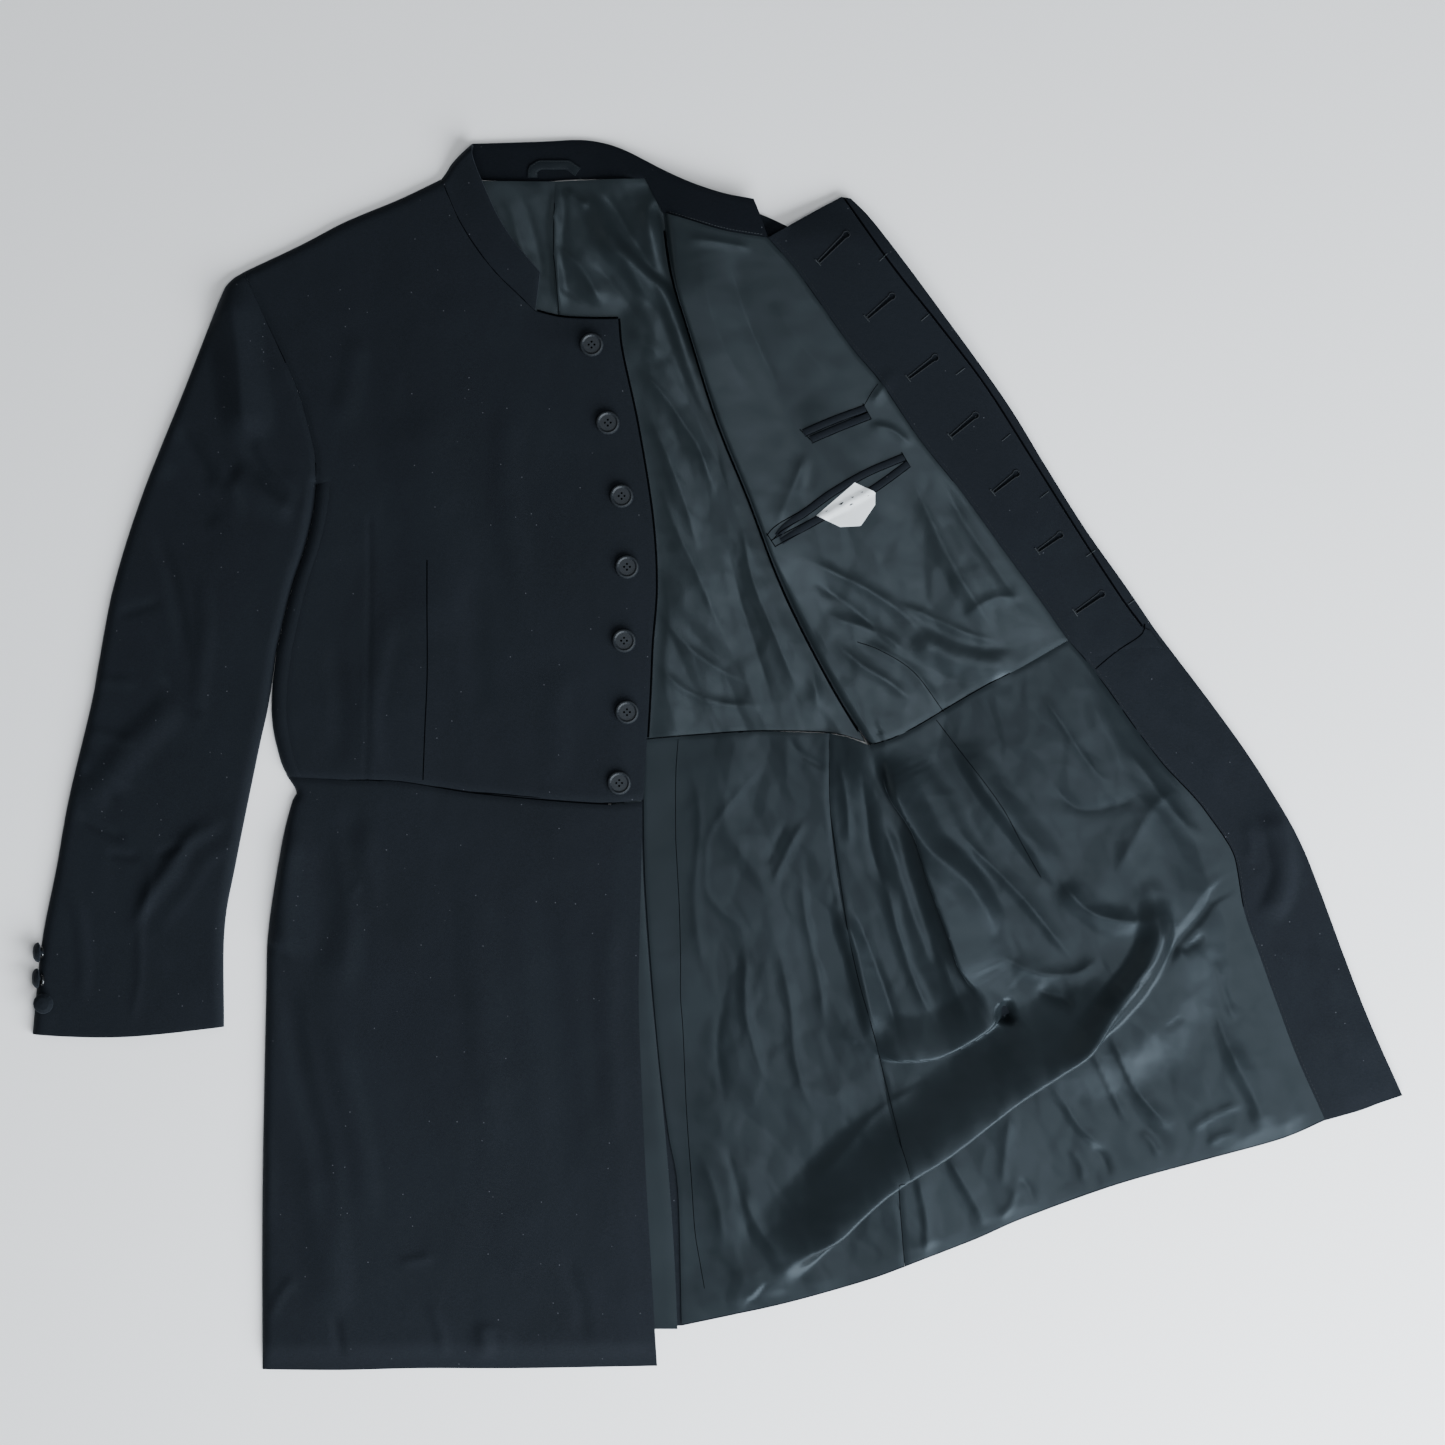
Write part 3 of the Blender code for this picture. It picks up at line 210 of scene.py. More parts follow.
# Middles of the small tacks across the fly edge, one beside each buttonhole
EDGE_TACKS = [(138.8, 415), (173.8, 365), (203, 320), (241, 265), (273, 217.5), (312, 169),
              (347, 129)]
POCKET_LIPS = {
    "upper_pocket_lip_top": [(72.5, 268.8), (98, 279.7), (124, 289.3)],
    "upper_pocket_lip_bottom": [(78.3, 263.2), (103, 273.7), (127.3, 283.3)],
    "lower_pocket_lip_top": [(50.8, 183), (58.3, 191.7), (76.3, 204.5), (97, 219.6), (123.8, 235),
                             (145.8, 244.6), (156.3, 248.8)],
    "lower_pocket_lip_bottom": [(53.8, 178.3), (74.6, 191.3), (105.4, 208.3), (129.6, 221.5),
                                (152.1, 237.5), (159.6, 243.3)],
}
# The strip's lower end, and where the facing passes from the left front to its skirt
FLY_END = [357,110, 354,101, 334,87.5, 315.5,72.5]
FACING_BLEND = [200,57, 293,96.5, 328,106.5, 366,105, 460,105]
# Seams sewn inside one piece of lining, or through it
LINING_SEAMS = ["back pleat", "skirt back tuck", "breast seam", "front seam", "skirt tuck"]
# Cloth dips at seams: how far, its reach on both sides, the edge's name
RIGHT_SEAMS = [(0.9, 4.5, "right waist"), (1.0, 5.0, "right armhole"), (0.8, 4.0, "right side seam")]
LEFT_SEAMS = [(0.4, 4.0, "left waist"), (0.5, 4.0, "facing seam"), (0.5, 4.0, "skirt facing seam"),
              (0.4, 4.0, "side back seam"), (0.3, 3.5, "back waist left")]
# What holds the left front up: the back beside the armhole, and the sleeve under it
LEFT_SUPPORTS = [((-35, 450), 72, (75, 110), 72), ((90, 319), 108, (300, -160), 88)]

# The pattern's edges as they lie, and the seams inside its pieces
EDGES = {
    "right shoulder": [-394.5,404, -347,426.5, -309.5,446, -264,465, -229.5,481.5],
    "right armhole": [-394.5,404, -380.5,373.5, -364,338.5, -350.5,308.5, -340.5,276, -334.5,248.5,
                      -334,226],
    "underarm": [-334,226, -337,201, -344,171.5, -354.5,140, -367,88.5],
    "right side": [-367,88.5, -371,55, -370.5,25, -364,-3.5, -358,-17.5],
    "right neckline": [-229.5,481.5, -216,449, -199,421.5, -180.5,399, -151,371],
    "right front top": [-151,371, -130.5,366, -105.5,364.5, -82,364.5],
    "right front edge": [-82,364.5, -79,336.5, -66,276, -54,201, -50.5,142.5, -54,92.5, -56,46.5,
                         -61,-36.5],
    "right waist": [-358,-17.5, -305.5,-20, -264,-21, -197,-31, -97,-39, -61,-36.5],
    "right skirt side": [-358,-17.5, -350.5,-30, -354.5,-39, -363,-74, -374,-145, -376,-203.5, -379,-370,
                         -379,-512],
    "right hem": [-379,-512, -314,-512.5, -247,-511, -164,-511, -49.5,-509],
    "right skirt front": [-62,-38, -62,-66, -64.5,-170, -64.5,-220, -59.5,-336.5, -54,-432.5, -49.5,-509],
    "right sleeve back": [-394.5,404, -405.5,396.5, -414.5,381.5, -444,306.5, -479.5,217.5, -503,142.5,
                          -515.5,78.5, -522,42.5, -540.5,-35, -551,-93.5, -563,-155, -571,-232],
    "right cuff": [-571,-232, -539,-234, -501,-234.5, -464,-232, -411,-226],
    "right sleeve front": [-367,88.5, -374,42, -382,5, -400.5,-86.5, -410.5,-145, -411,-226],
    "collar turn": [-229.5,481.5, -225.5,487, -220.5,495, -212,504, -204,511],
    "collar right free": [-204,511, -203,498.5, -196,480, -183,451, -169,428.5, -147,402.5],
    "collar right end": [-151,371, -147,402.5],
    "collar start": [-203.4,510.8, -206,497, -208,481],
    "collar top": [-203.4,510.8, -147,512.5, -114,514, -93,511, -76,505, -59.5,496.5, -40.5,486.5,
                   -18,476.5, 7,468.5, 31,464],
    "collar back seam": [-208,481, -155.5,479, -114,481, -59.5,481.5],
    "collar left corner": [-59.5,481.5, -52,466, -44,452.5],
    "collar left seam": [-44,452.5, -22,446, 7,437.5, 43,431.5],
    "collar left end": [31,464, 36,451.5, 43,431.5],
    "back neck right": [-229.5,481.5, -197,479.5, -134.5,479],
    "back neck left": [-134.5,479, -100,480.5, -59.5,481.5],
    "centre back": [-134.5,479, -136,434, -132,365, -105.5,230, -80.5,113.5, -61,13.5],
    "back waist right": [-358,-17.5, -247,-7.5, -130.5,6.5, -61,13.5],
    "back waist left": [-61,13.5, -14,17.5, 36,20.5, 94,19, 124.5,11.5],
    "left shoulder": [-59.5,481.5, -15,469, 20,457.5, 36,452.5, 59.6,441.7, 85,427, 115,412],
    "left armhole": [115,412, 92,340, 70,276, 64,226],
    "left side": [64,226, 72,160, 90,90, 110,40, 124.5,11.5],
    "left sleeve back": [115,412, 178,297, 245,163, 311,13, 361,-103, 379.5,-145],
    "left sleeve front": [64,226, 108,120, 153,-3, 195,-120, 229.5,-221.5],
    "left cuff": [379.5,-145, 229.5,-221.5],
    "left fold": [-44,452.5, -37,405, -22,355, 1,280, 28,213.5, 50.5,153.5, 69.5,111, 99,55, 127,9],
    "facing seam": [43,431.5, 69.5,401, 111,342.5, 137,311.5, 169.5,263.5, 203,221.5, 236,176, 269.5,130,
                    293,96.5],
    "left waist": [127,9, 153,17.5, 189.5,38.5, 219.5,56.5, 253,73.5, 293,96.5],
    "fly top": [43,431.5, 59.5,441, 86,456, 104.5,466],
    "fly edge": [104.5,466, 144.5,409, 186,356.5, 224,306.5, 261,249, 299,189, 336,132.5, 354,108],
    "front edge top": [104.5,466, 112,465],
    "left front edge": [112,465, 128,448.5, 153,416, 186,371.5, 240.5,296.5, 274,242.5, 307,190,
                        340.5,142.5, 366,105],
    "fly waist": [293,96.5, 328,106.5, 354,108],
    "edge waist": [354,108, 366,105],
    "vent border": [-61,13.5, -60,-90, -54.5,-175, -48,-250, -40,-315, -32,-365, -29,-475.5],
    "side back seam": [94,19, 94,-20, 96,-61.5, 104,-120, 119.5,-191, 136,-251.5, 149,-336.5, 157,-426.5],
    "skirt waist": [94,19, 111,15, 127,9],
    "skirt facing seam": [293,96.5, 313,73.5, 336,41.5, 369.5,-3.5, 400.5,-36.5, 426,-71.5, 434,-91.5,
                          440.5,-130, 454.5,-170, 469.5,-211.5, 486,-255, 508,-304],
    "left skirt edge": [366,105, 407,51, 440.5,5, 465.5,-34, 486,-70, 503,-111.5, 540.5,-211.5, 572,-283],
    "left back hem": [-29,-475.5, 9,-467.5, 51,-458.5, 89,-448.5, 131,-436, 157,-426.5],
    "left front hem": [157,-426.5, 216,-403.5, 256,-386, 330.5,-359, 403,-338.5, 470.5,-320, 508,-304],
    "facing hem": [508,-304, 536,-296, 552,-290],
    "edge hem": [552,-290, 572,-283],
    "vent hidden": [-88,2, -86,-120, -84,-300, -80,-478],
    "vent top": [-88,2, -63,4],
    "vent edge": [-63,4, -61.5,-90, -56,-175, -50,-240, -44.5,-295, -39.5,-353.5, -35.5,-411.5,
                  -32.5,-478],
    "vent hem": [-80,-478, -32.5,-478],
    "left shell vent": [-66,10, -70,-120, -66,-203.5, -58,-311.5, -50,-476],
    "right shell vent": [-72,8, -92,-60, -92,-300, -90,-484],
    "right back hem": [-374,-492, -222,-490, -90,-484],
    "left shell hem": [-50,-476, -29,-475.5],
    "left shell waist": [-66,10, -61,13.5],
    "back skirt waist": [-61,13.5, -14,17.5, 36,20.5, 94,19],
    "right back skirt side": [-358,-17.5, -350.5,-30, -354.5,-39, -363,-74, -374,-145, -376,-203.5,
                              -379,-370, -379,-492],
    "lining shoulder": [-59.5,481.5, -15,462, 20,446, 50,430, 85,414, 115,412],
    "label start": [83,200, 115,227.5],
    "label end": [103,190.5, 119,191.4, 121,192.8, 132,209],
    "label left": [83,200, 103,190.5],
    "label right": [115,227.5, 131,220, 132,218, 132,209],
    "right side seam": [-289.5,196, -289,163, -289.5,100, -291,20, -293,-20],
    "front dart": [-241,163, -241,113, -241,67, -243,20, -244.5,-20],
    "back pleat": [-137,477, -135,457, -138,437, -135,411, -133,389, -131,364],
    "skirt back tuck": [-32,14, -34,-18, -34,-67, -33,-88, -31,-127, -30,-169, -30,-201, -28,-228,
                        -25,-296, -21,-352, -18,-396, -14,-421, -10,-444],
    "breast seam": [137,313, 130,304, 123,292],
    "front seam": [189,37, 164,70, 136,88, 117,95],
    "skirt tuck": [183,30, 202,5, 235,-39, 253,-71, 270,-101],
}

# Crests of the big folds: the ridge across the skirt, the bunch beside its side seam, the left front's fold
RIDGE_CREST = [46,-434, 84,-393, 129,-349, 182,-315, 232,-276, 280,-243, 325,-209, 340,-194]
RIDGE_CURL = [276,-246, 304,-225, 340,-196, 360,-165, 366,-140, 362,-116]
RIDGE_END = [372,-174, 382,-157, 403,-132, 415,-116, 434,-103]
BUNCH_CREST = [141,6, 152,-23, 176,-59, 189,-99, 206,-146, 219,-183, 238,-205]
BUNCH_END = [240,-198, 221,-219, 186,-239, 152,-243, 128,-240]
LEFT_FOLD_CREST = [-34,448, -28,405, -13,355, 10,283, 37,216, 59,157, 80,108]
# Folds that lean over: how far the crest shifts, which way, the reach on its left and right
LEANING_FOLDS = [
    (20.0, (0.6, -0.8), 44, 21, RIDGE_CREST),
    (4.0, (0.8, -0.6), 17, 18, RIDGE_CURL),
    (13.0, (-0.95, -0.3), 26, 15, BUNCH_CREST),
    (10.0, (0.15, -1.0), 13, 24, BUNCH_END),
    (7.0, (-0.97, -0.24), 30, 12, LEFT_FOLD_CREST),
]
# Main folds: height at the crest, reach on the left and right of its direction, its stations
FOLDS = {"right": [
    (8.0, 26, 26, [-407,396, -401,353, -396,311, -388,258]),
    (4.0, 24, 20, [-408,235, -378,218, -349,205]),
    (3.0, 20, 20, [-530,-45, -492,0, -444,52]),
    (3.0, 26, 22, [-478,-140, -450,-105, -430,-78, -404,-60]),
    (-2.0, 16, 16, [-462,240, -431,210, -416,190]),
    (3.0, 24, 24, [-352,-60, -352,-120, -356,-172]),
    (2.5, 26, 26, [-300,-50, -300,-130, -318,-200]),
    (2.5, 22, 30, [-332,-330, -322,-400, -318,-470]),
    (3.0, 45, 45, [-255,300, -235,200, -225,90]),
    (2.0, 24, 24, [-185,-470, -193,-512]),
], "back": [
    (1.1, 9, 5, [-134,476, -134,434, -131,365]),
    (1.0, 18, 14, [-105,440, -70,400, -48,350, -30,290]),
    (0.9, 16, 16, [-60,160, -20,120, 20,85]),
], "left": [
    (5.0, 48, 12, LEFT_FOLD_CREST),
    (18.0, 46, 21, RIDGE_CREST),
    (9.0, 17, 18, RIDGE_CURL),
    (-2.4, 9, 9, RIDGE_END),
    (10.5, 40, 15, BUNCH_CREST),
    (7.0, 13, 30, BUNCH_END),
    (3.0, 14, 14, [143,-3, 168,-40, 200,-90, 217,-112, 232,-154]),
    (2.0, 22, 12, [284,-110, 320,-138, 344,-142, 356,-138]),
    (4.0, 20, 10, [102,-127, 118,-180, 132,-237]),
    (1.5, 20, 14, [330,-235, 350,-280, 386,-320]),
    (1.5, 18, 12, [425,-240, 450,-290, 458,-315]),
    (5.0, 13, 24, [464,-42, 476,-92, 464,-141]),
    (0.8, 20, 20, [70,300, 110,250, 150,190]),
    (3.0, 18, 18, [160,100, 200,80, 250,75]),
]}

# Finer creases, read off the photograph in its pixels: height, reach on the left and right of the
# crease's own direction in millimetres, 1 where the crest is sharp, and the x,y of its stations
CREASES = {"right": [
    (1.4, 12, 10, 1, 230,286, 232,306, 236,332, 239,352, 241,383, 243,413, 251,446),
    (-2.2, 12, 9, 0, 240,440, 260,474, 278,492, 302,508),
    (1.4, 9, 9, 0, 252,436, 276,470, 300,488),
    (-1.8, 9, 13, 0, 176,425, 199,462, 216,488),
    (1.3, 8, 12, 0, 196,430, 220,466, 246,520),
    (-1.2, 6, 6, 0, 114,616, 138,608, 164,600),
    (-1.6, 8, 8, 0, 160,676, 182,700, 204,719),
    (-1.6, 7, 8, 0, 78,764, 100,782, 120,803),
    (1.3, 7, 7, 0, 84,748, 108,770, 134,790),
    (-1.8, 8, 7, 0, 74,813, 100,828, 128,840),
    (-1.3, 6, 6, 0, 104,852, 122,856, 142,857),
    (-1.3, 6, 6, 0, 155,857, 170,850, 184,843),
    (1.3, 8, 8, 0, 86,730, 112,737, 138,744),
    (1.1, 7, 7, 0, 88,680, 114,681, 141,684),
    (-2.6, 11, 15, 0, 140,938, 160,905, 181,878, 197,852, 222,833, 238,818),
    (1.6, 8, 8, 0, 128,936, 148,898, 168,868, 190,838, 214,820),
    (1.1, 7, 9, 1, 153,850, 149,894, 141,929, 140,975, 136,1002, 129,1038),
    (-1.4, 10, 10, 0, 150,520, 168,566, 180,620, 186,668),
    (1.2, 12, 12, 0, 200,560, 206,620, 200,680, 192,740),
    (1.0, 10, 10, 0, 60,880, 78,912, 84,960, 82,1010),
    (2.2, 14, 16, 0, 300,815, 290,850, 284,900, 280,965),
    (-1.6, 16, 14, 0, 350,790, 352,850, 362,920, 356,1000),
    (-1.8, 14, 14, 0, 288,965, 294,1030, 304,1090, 322,1160, 330,1262),
    (1.5, 16, 16, 0, 330,1010, 346,1080, 362,1150, 372,1230),
    (1.0, 5, 6, 1, 360,878, 356,888, 351,898),
    (1.4, 6, 7, 0, 398,1264, 415,1260, 434,1255),
    (1.5, 6, 7, 0, 270,1320, 280,1296, 296,1274),
    (-1.6, 7, 7, 0, 334,1312, 338,1340, 342,1362),
    (1.3, 8, 8, 0, 480,1322, 484,1344, 482,1364),
    (-1.1, 7, 7, 0, 494,1324, 498,1344, 500,1366),
    (1.2, 8, 8, 0, 428,1300, 440,1330, 444,1366),
    (-1.3, 6, 6, 0, 264,946, 276,950, 290,956),
    (1.3, 16, 16, 0, 356,330, 352,380, 340,430),
    (-1.2, 14, 14, 0, 330,640, 340,700, 336,768),
    (1.4, 12, 18, 0, 395,600, 380,660, 372,720, 380,776),
    (1.2, 20, 20, 0, 520,380, 505,460, 512,540, 530,620),
    (1.0, 18, 18, 0, 560,660, 556,720, 560,786),
    (-1.0, 18, 18, 0, 470,560, 474,640, 480,720),
    (1.2, 24, 24, 0, 470,840, 476,940, 486,1040, 490,1160),
    (-1.1, 22, 22, 0, 540,860, 548,960, 560,1080, 566,1200),
    (1.0, 16, 16, 0, 610,900, 608,1020, 614,1160),
    (1.2, 12, 12, 0, 258,1110, 266,1180, 262,1240),
    (-1.0, 10, 10, 0, 560,1250, 580,1300, 584,1350),
], "back": [
    (1.2, 7, 4, 0, 552,184, 554,207, 550.5,232, 554,263, 557,289, 559,322),
    (-0.9, 5, 5, 0, 562,186, 564,215, 560,250, 566,300),
    (4.2, 9, 16, 0, 584,186, 600,214, 612,240, 640,270, 668,298, 685,338, 699,376, 716,420),
    (-1.6, 6, 8, 0, 600,190, 618,212, 632,238, 650,262),
    (7.0, 12, 24, 0, 646,184, 656,214, 674,262, 694,320, 712,372),
    (2.0, 9, 9, 0, 556,246, 570,258, 580,268, 592,286, 604,308),
    (-1.0, 6, 6, 0, 553,284, 572,294, 599,310, 615,320),
    (1.6, 8, 8, 0, 598,244, 622,259, 640,288, 655,304),
    (-1.0, 6, 6, 0, 590,262, 610,280, 624,300, 640,316),
    (0.7, 8, 8, 0, 624,334, 649,346, 660,360),
    (1.3, 6, 7, 0, 564,188, 576,200, 590,206),
    (1.1, 7, 7, 0, 500,190, 512,215, 522,250, 536,290),
    (-0.8, 6, 6, 0, 514,186, 528,214, 538,250, 544,286),
    (2.0, 10, 12, 0, 631,364, 658,388, 682,421, 700,450, 716,500),
    (1.5, 12, 14, 0, 640,400, 660,440, 684,500, 700,560),
    (-0.9, 9, 9, 0, 672,350, 690,392, 712,440, 730,500),
    (1.4, 12, 12, 0, 656,470, 672,520, 700,580, 724,640),
    (1.6, 12, 10, 0, 740,520, 752,580, 776,640, 800,700),
    (-0.9, 8, 8, 0, 726,540, 740,600, 760,660, 776,716),
    (1.3, 9, 12, 0, 650,600, 680,640, 716,668, 756,688),
    (1.3, 8, 9, 0, 652,660, 684,690, 724,704, 770,706),
    (1.0, 8, 8, 0, 800,620, 812,660, 818,716),
    (1.1, 10, 10, 0, 660,560, 668,610, 664,670, 672,720),
], "left": [
    (-10.0, 10, 9, 0, 1000,1000, 1004,1013, 1005,1024),
    (2.4, 14, 9, 0, 886,758, 904,780, 920,816, 940,844, 968,880, 988,916, 992,948),
    (-1.5, 8, 8, 0, 912,770, 932,800, 952,836, 978,872, 1000,906),
    (2.2, 13, 6, 0, 952,820, 968,844, 1020,896, 1060,944, 1080,968),
    (4.6, 26, 10, 0, 955,742, 984,788, 1012,824, 1036,856, 1060,888),
    (2.0, 13, 8, 0, 1054,872, 1084,908, 1116,920, 1144,920, 1158,906),
    (2.2, 14, 10, 0, 994,952, 1032,972, 1068,974, 1088,966, 1102,952),
    (-2.0, 9, 9, 0, 1034,988, 1052,993, 1072,996),
    (-1.6, 12, 12, 0, 1046,778, 1076,808, 1116,804, 1144,790),
    (1.8, 12, 12, 0, 1112,876, 1132,844, 1156,804, 1182,790),
    (1.2, 10, 10, 0, 1040,692, 1082,756, 1110,790),
    (1.3, 12, 9, 0, 1126,746, 1170,806, 1206,846),
    (-2.2, 9, 9, 0, 1178,952, 1192,944, 1206,934),
    (2.0, 13, 5, 0, 1106,1030, 1122,1063, 1140,1097, 1176,1136),
    (1.7, 11, 5, 0, 1088,1045, 1104,1077, 1117,1104, 1128,1126),
    (1.7, 11, 5, 0, 1047,1081, 1067,1109, 1081,1131, 1113,1154),
    (1.2, 13, 8, 0, 1213,992, 1222,1030, 1239,1068, 1257,1104, 1267,1136),
    (1.4, 9, 8, 0, 1188,1132, 1217,1113, 1246,1101),
    (-1.3, 5, 5, 0, 1163,1029, 1172,1024, 1182,1016),
    (1.9, 14, 5, 0, 946,1155, 968,1195, 986,1228),
    (1.6, 11, 5, 0, 914,1168, 925,1217, 927,1262),
    (1.2, 8, 8, 0, 1013,1108, 1006,1150, 1002,1190),
    (-1.4, 6, 6, 0, 1110,1178, 1104,1160, 1092,1144),
    (1.3, 5, 6, 0, 1084,1184, 1080,1164, 1068,1148),
    (1.3, 6, 5, 0, 1000,1222, 1012,1204, 1018,1186),
    (-1.2, 6, 6, 0, 1034,1206, 1030,1190, 1020,1176),
    (1.4, 6, 6, 0, 1160,1158, 1152,1142, 1140,1130),
    (1.3, 6, 6, 0, 1206,1146, 1220,1136, 1240,1132),
    (1.5, 10, 8, 0, 1216,960, 1226,1000, 1236,1024),
    (-3.0, 12, 10, 0, 884,800, 902,850, 918,900, 936,950, 952,985),
    (0.6, 9, 12, 0, 700,250, 712,300, 728,350, 752,400),
    (-0.6, 10, 10, 0, 728,258, 744,312, 764,360, 786,398),
    (1.1, 6, 7, 0, 685,239, 716,243, 754,250),
    (0.6, 12, 16, 0, 772,300, 800,344, 832,380),
    (1.5, 8, 11, 0, 806,452, 790,500, 784,528),
    (1.2, 7, 8, 0, 870,406, 884,386, 892,368),
    (1.3, 6, 8, 0, 868,426, 890,430, 912,446),
    (1.6, 9, 9, 0, 800,556, 832,572, 868,590, 900,612, 930,640),
    (-1.4, 8, 8, 0, 806,576, 836,596, 866,620, 890,650),
    (1.8, 9, 9, 0, 832,640, 858,664, 890,684, 918,706),
    (1.4, 7, 8, 0, 892,600, 930,618, 972,636, 1010,646),
    (1.3, 8, 8, 0, 820,610, 842,622, 880,634, 918,664),
    (1.5, 9, 12, 0, 910,470, 930,520, 960,580, 1000,640),
    (-1.2, 9, 9, 0, 936,470, 962,520, 996,570, 1030,620),
    (1.2, 8, 8, 0, 960,620, 990,600, 1024,596),
    (1.3, 8, 8, 0, 943,712, 913,672, 880,650, 857,642),
    (1.6, 7, 7, 0, 839,908, 857,950, 875,1040, 880,1057),
    (-1.8, 6, 6, 0, 850,900, 868,946, 888,1000, 900,1046),
    (2.0, 8, 8, 0, 884,880, 900,940, 918,990, 940,1030),
    (1.6, 8, 8, 0, 930,930, 950,984, 968,1016),
    (1.6, 12, 12, 0, 804,1186, 840,1150, 880,1110, 930,1080),
    (1.4, 10, 10, 0, 700,1150, 716,1200, 724,1250),
    (-1.3, 9, 9, 0, 724,1140, 740,1196, 752,1250),
    (1.4, 9, 9, 0, 740,1190, 756,1226, 784,1264),
    (-1.3, 6, 6, 0, 788,736, 799,752, 829,771),
    (0.8, 5, 6, 0, 773,752, 745,786, 719,819, 708,839, 706,868, 708,895, 732,919, 762,922),
    (1.6, 6, 7, 0, 772,888, 783,862, 795,838, 806,817),
    (-1.2, 6, 6, 0, 764,870, 774,846, 788,820),
    (1.4, 7, 7, 0, 747,944, 745,972, 745,1010, 753,1040, 768,1090),
    (1.5, 8, 8, 0, 690,760, 700,820, 694,900, 704,980),
    (-1.2, 7, 7, 0, 716,930, 722,990, 718,1050, 726,1110),
    (1.4, 8, 8, 0, 776,940, 790,1000, 796,1060, 812,1120),
    (1.2, 8, 8, 0, 800,860, 806,920, 820,980, 826,1040),
    (1.6, 9, 9, 0, 838,760, 846,800, 850,850),
    (-2.0, 7, 7, 0, 862,770, 866,810, 872,850, 884,890),
    (-1.8, 9, 9, 0, 1263,822, 1268,850, 1271,873, 1264,896, 1253,918),
    (1.6, 8, 9, 0, 1247,820, 1250,842, 1250,866),
    (1.2, 14, 14, 0, 1300,900, 1322,960, 1340,1010),
    (-1.2, 12, 12, 0, 1292,960, 1320,1020, 1350,1080),
    (1.2, 8, 8, 0, 1170,700, 1200,756, 1228,804),
]}


def smooth_line(stations, steps=12):
    """A Catmull-Rom curve through the stations, as many close points."""
    p = np.reshape(np.array(stations, float), (-1, 2))
    if len(p) < 3:
        return np.array([p[0] + (p[-1] - p[0]) * t for t in np.linspace(0, 1, steps + 1)])
    p = np.vstack([2 * p[0] - p[1], p, 2 * p[-1] - p[-2]])
    out = []
    for a, b, c, d in zip(p, p[1:], p[2:], p[3:]):
        for t in np.arange(steps) / steps:
            out.append(0.5 * (2 * b + (c - a) * t + (2 * a - 5 * b + 4 * c - d) * t ** 2
                              + (3 * b - a - 3 * c + d) * t ** 3))
    return np.array(out + [p[-2]])


def edge(name):
    return smooth_line(EDGES[name], 5)


def lengths(line):
    return np.concatenate([[0], np.cumsum(np.linalg.norm(np.diff(line, axis=0), axis=1))])


def at_lengths(line, where):
    """Points at these lengths along a line."""
    run = lengths(line)
    return np.stack([np.interp(where, run, line[:, k]) for k in (0, 1)], axis=1)


def chain(names):
    """Named edges end to end as one line, and how far along it each of them ends."""
    points, ends = None, []
    for name in names.split(" + "):
        line = smooth_line(EDGES[name.lstrip("-")])
        line = line[::-1] if name.startswith("-") else line
        points = line if points is None else np.vstack([points, line[1:]])
        ends.append(lengths(points)[-1])
    return points, ends


def spread(length, step, start=False, end=False):
    """Places along a length in equal steps, with closer ones where an end turns down."""
    low = list(ROLL_STEPS) if start else [0.0]
    high = [length - s for s in reversed(ROLL_STEPS)] if end else [length]
    count = max(2, round((high[0] - low[-1]) / step))
    return np.array(low[:-1] + list(np.linspace(low[-1], high[0], count + 1)) + high[1:])


def sampled(names, shares):
    """Points along named edges at these shares of their length, with each corner hit exactly."""
    line, ends = chain(names)
    where = shares * ends[-1]
    taken = []
    for corner in ends[:-1]:
        k = int(np.argmin(np.abs(where - corner)))
        where[k] = corner
        taken.append(k)
    return at_lengths(line, where), taken


def patch(top, bottom, left, right, step=STEP, roll="", wide=None):
    """A grid of points filled in between four chains of edges: top and bottom run left to right,
    left and right run downwards. roll names the sides that turn down, by their first letters.
    The other two results are the columns and rows at the corners of the top and left chains."""
    wide = wide or max(chain(top)[1][-1], chain(bottom)[1][-1])
    tall = max(chain(left)[1][-1], chain(right)[1][-1])
    across = spread(wide, step, "l" in roll, "r" in roll) / wide
    down = spread(tall, step, "t" in roll, "b" in roll) / tall
    (t, corners), (b, _) = sampled(top, across.copy()), sampled(bottom, across.copy())
    (l, steps), (r, _) = sampled(left, down.copy()), sampled(right, down.copy())
    u, v = across[None, :, None], down[:, None, None]
    filled = ((1 - v) * t[None] + v * b[None] + (1 - u) * l[:, None] + u * r[:, None]
              - ((1 - u) * (1 - v) * t[0] + u * (1 - v) * t[-1] + (1 - u) * v * b[0] + u * v * b[-1]))
    return filled, corners, steps


def inset(grid, left=0.0, right=0.0, top=0.0, bottom=0.0):
    """The grid squeezed inwards by these amounts at its borders."""
    rows, columns = grid.shape[:2]
    across = grid[:, -1] - grid[:, 0]
    wide = np.linalg.norm(across, axis=1)[:, None]
    u = np.linspace(0, 1, columns)[None, :, None]
    grid = grid + (across / wide)[:, None] * (left * (1 - u) ** 3 - right * u ** 3)
    down = grid[-1] - grid[0]
    tall = np.linalg.norm(down, axis=1)[:, None]
    v = np.linspace(0, 1, rows)[:, None, None]
    return grid + (down / tall)[None] * (top * (1 - v) ** 3 - bottom * v ** 3)


def bent(grid, column, edge_name):
    """The grid shifted sideways so that this column of it runs along a named edge."""
    line, ends = chain(edge_name)
    run = lengths(grid[:, column])
    shift = at_lengths(line, run / run[-1] * ends[-1]) - grid[:, column]
    last = grid.shape[1] - 1
    j = np.arange(last + 1)
    return grid + shift[:, None] * np.minimum(j / column, (last - j) / (last - column))[None, :, None]


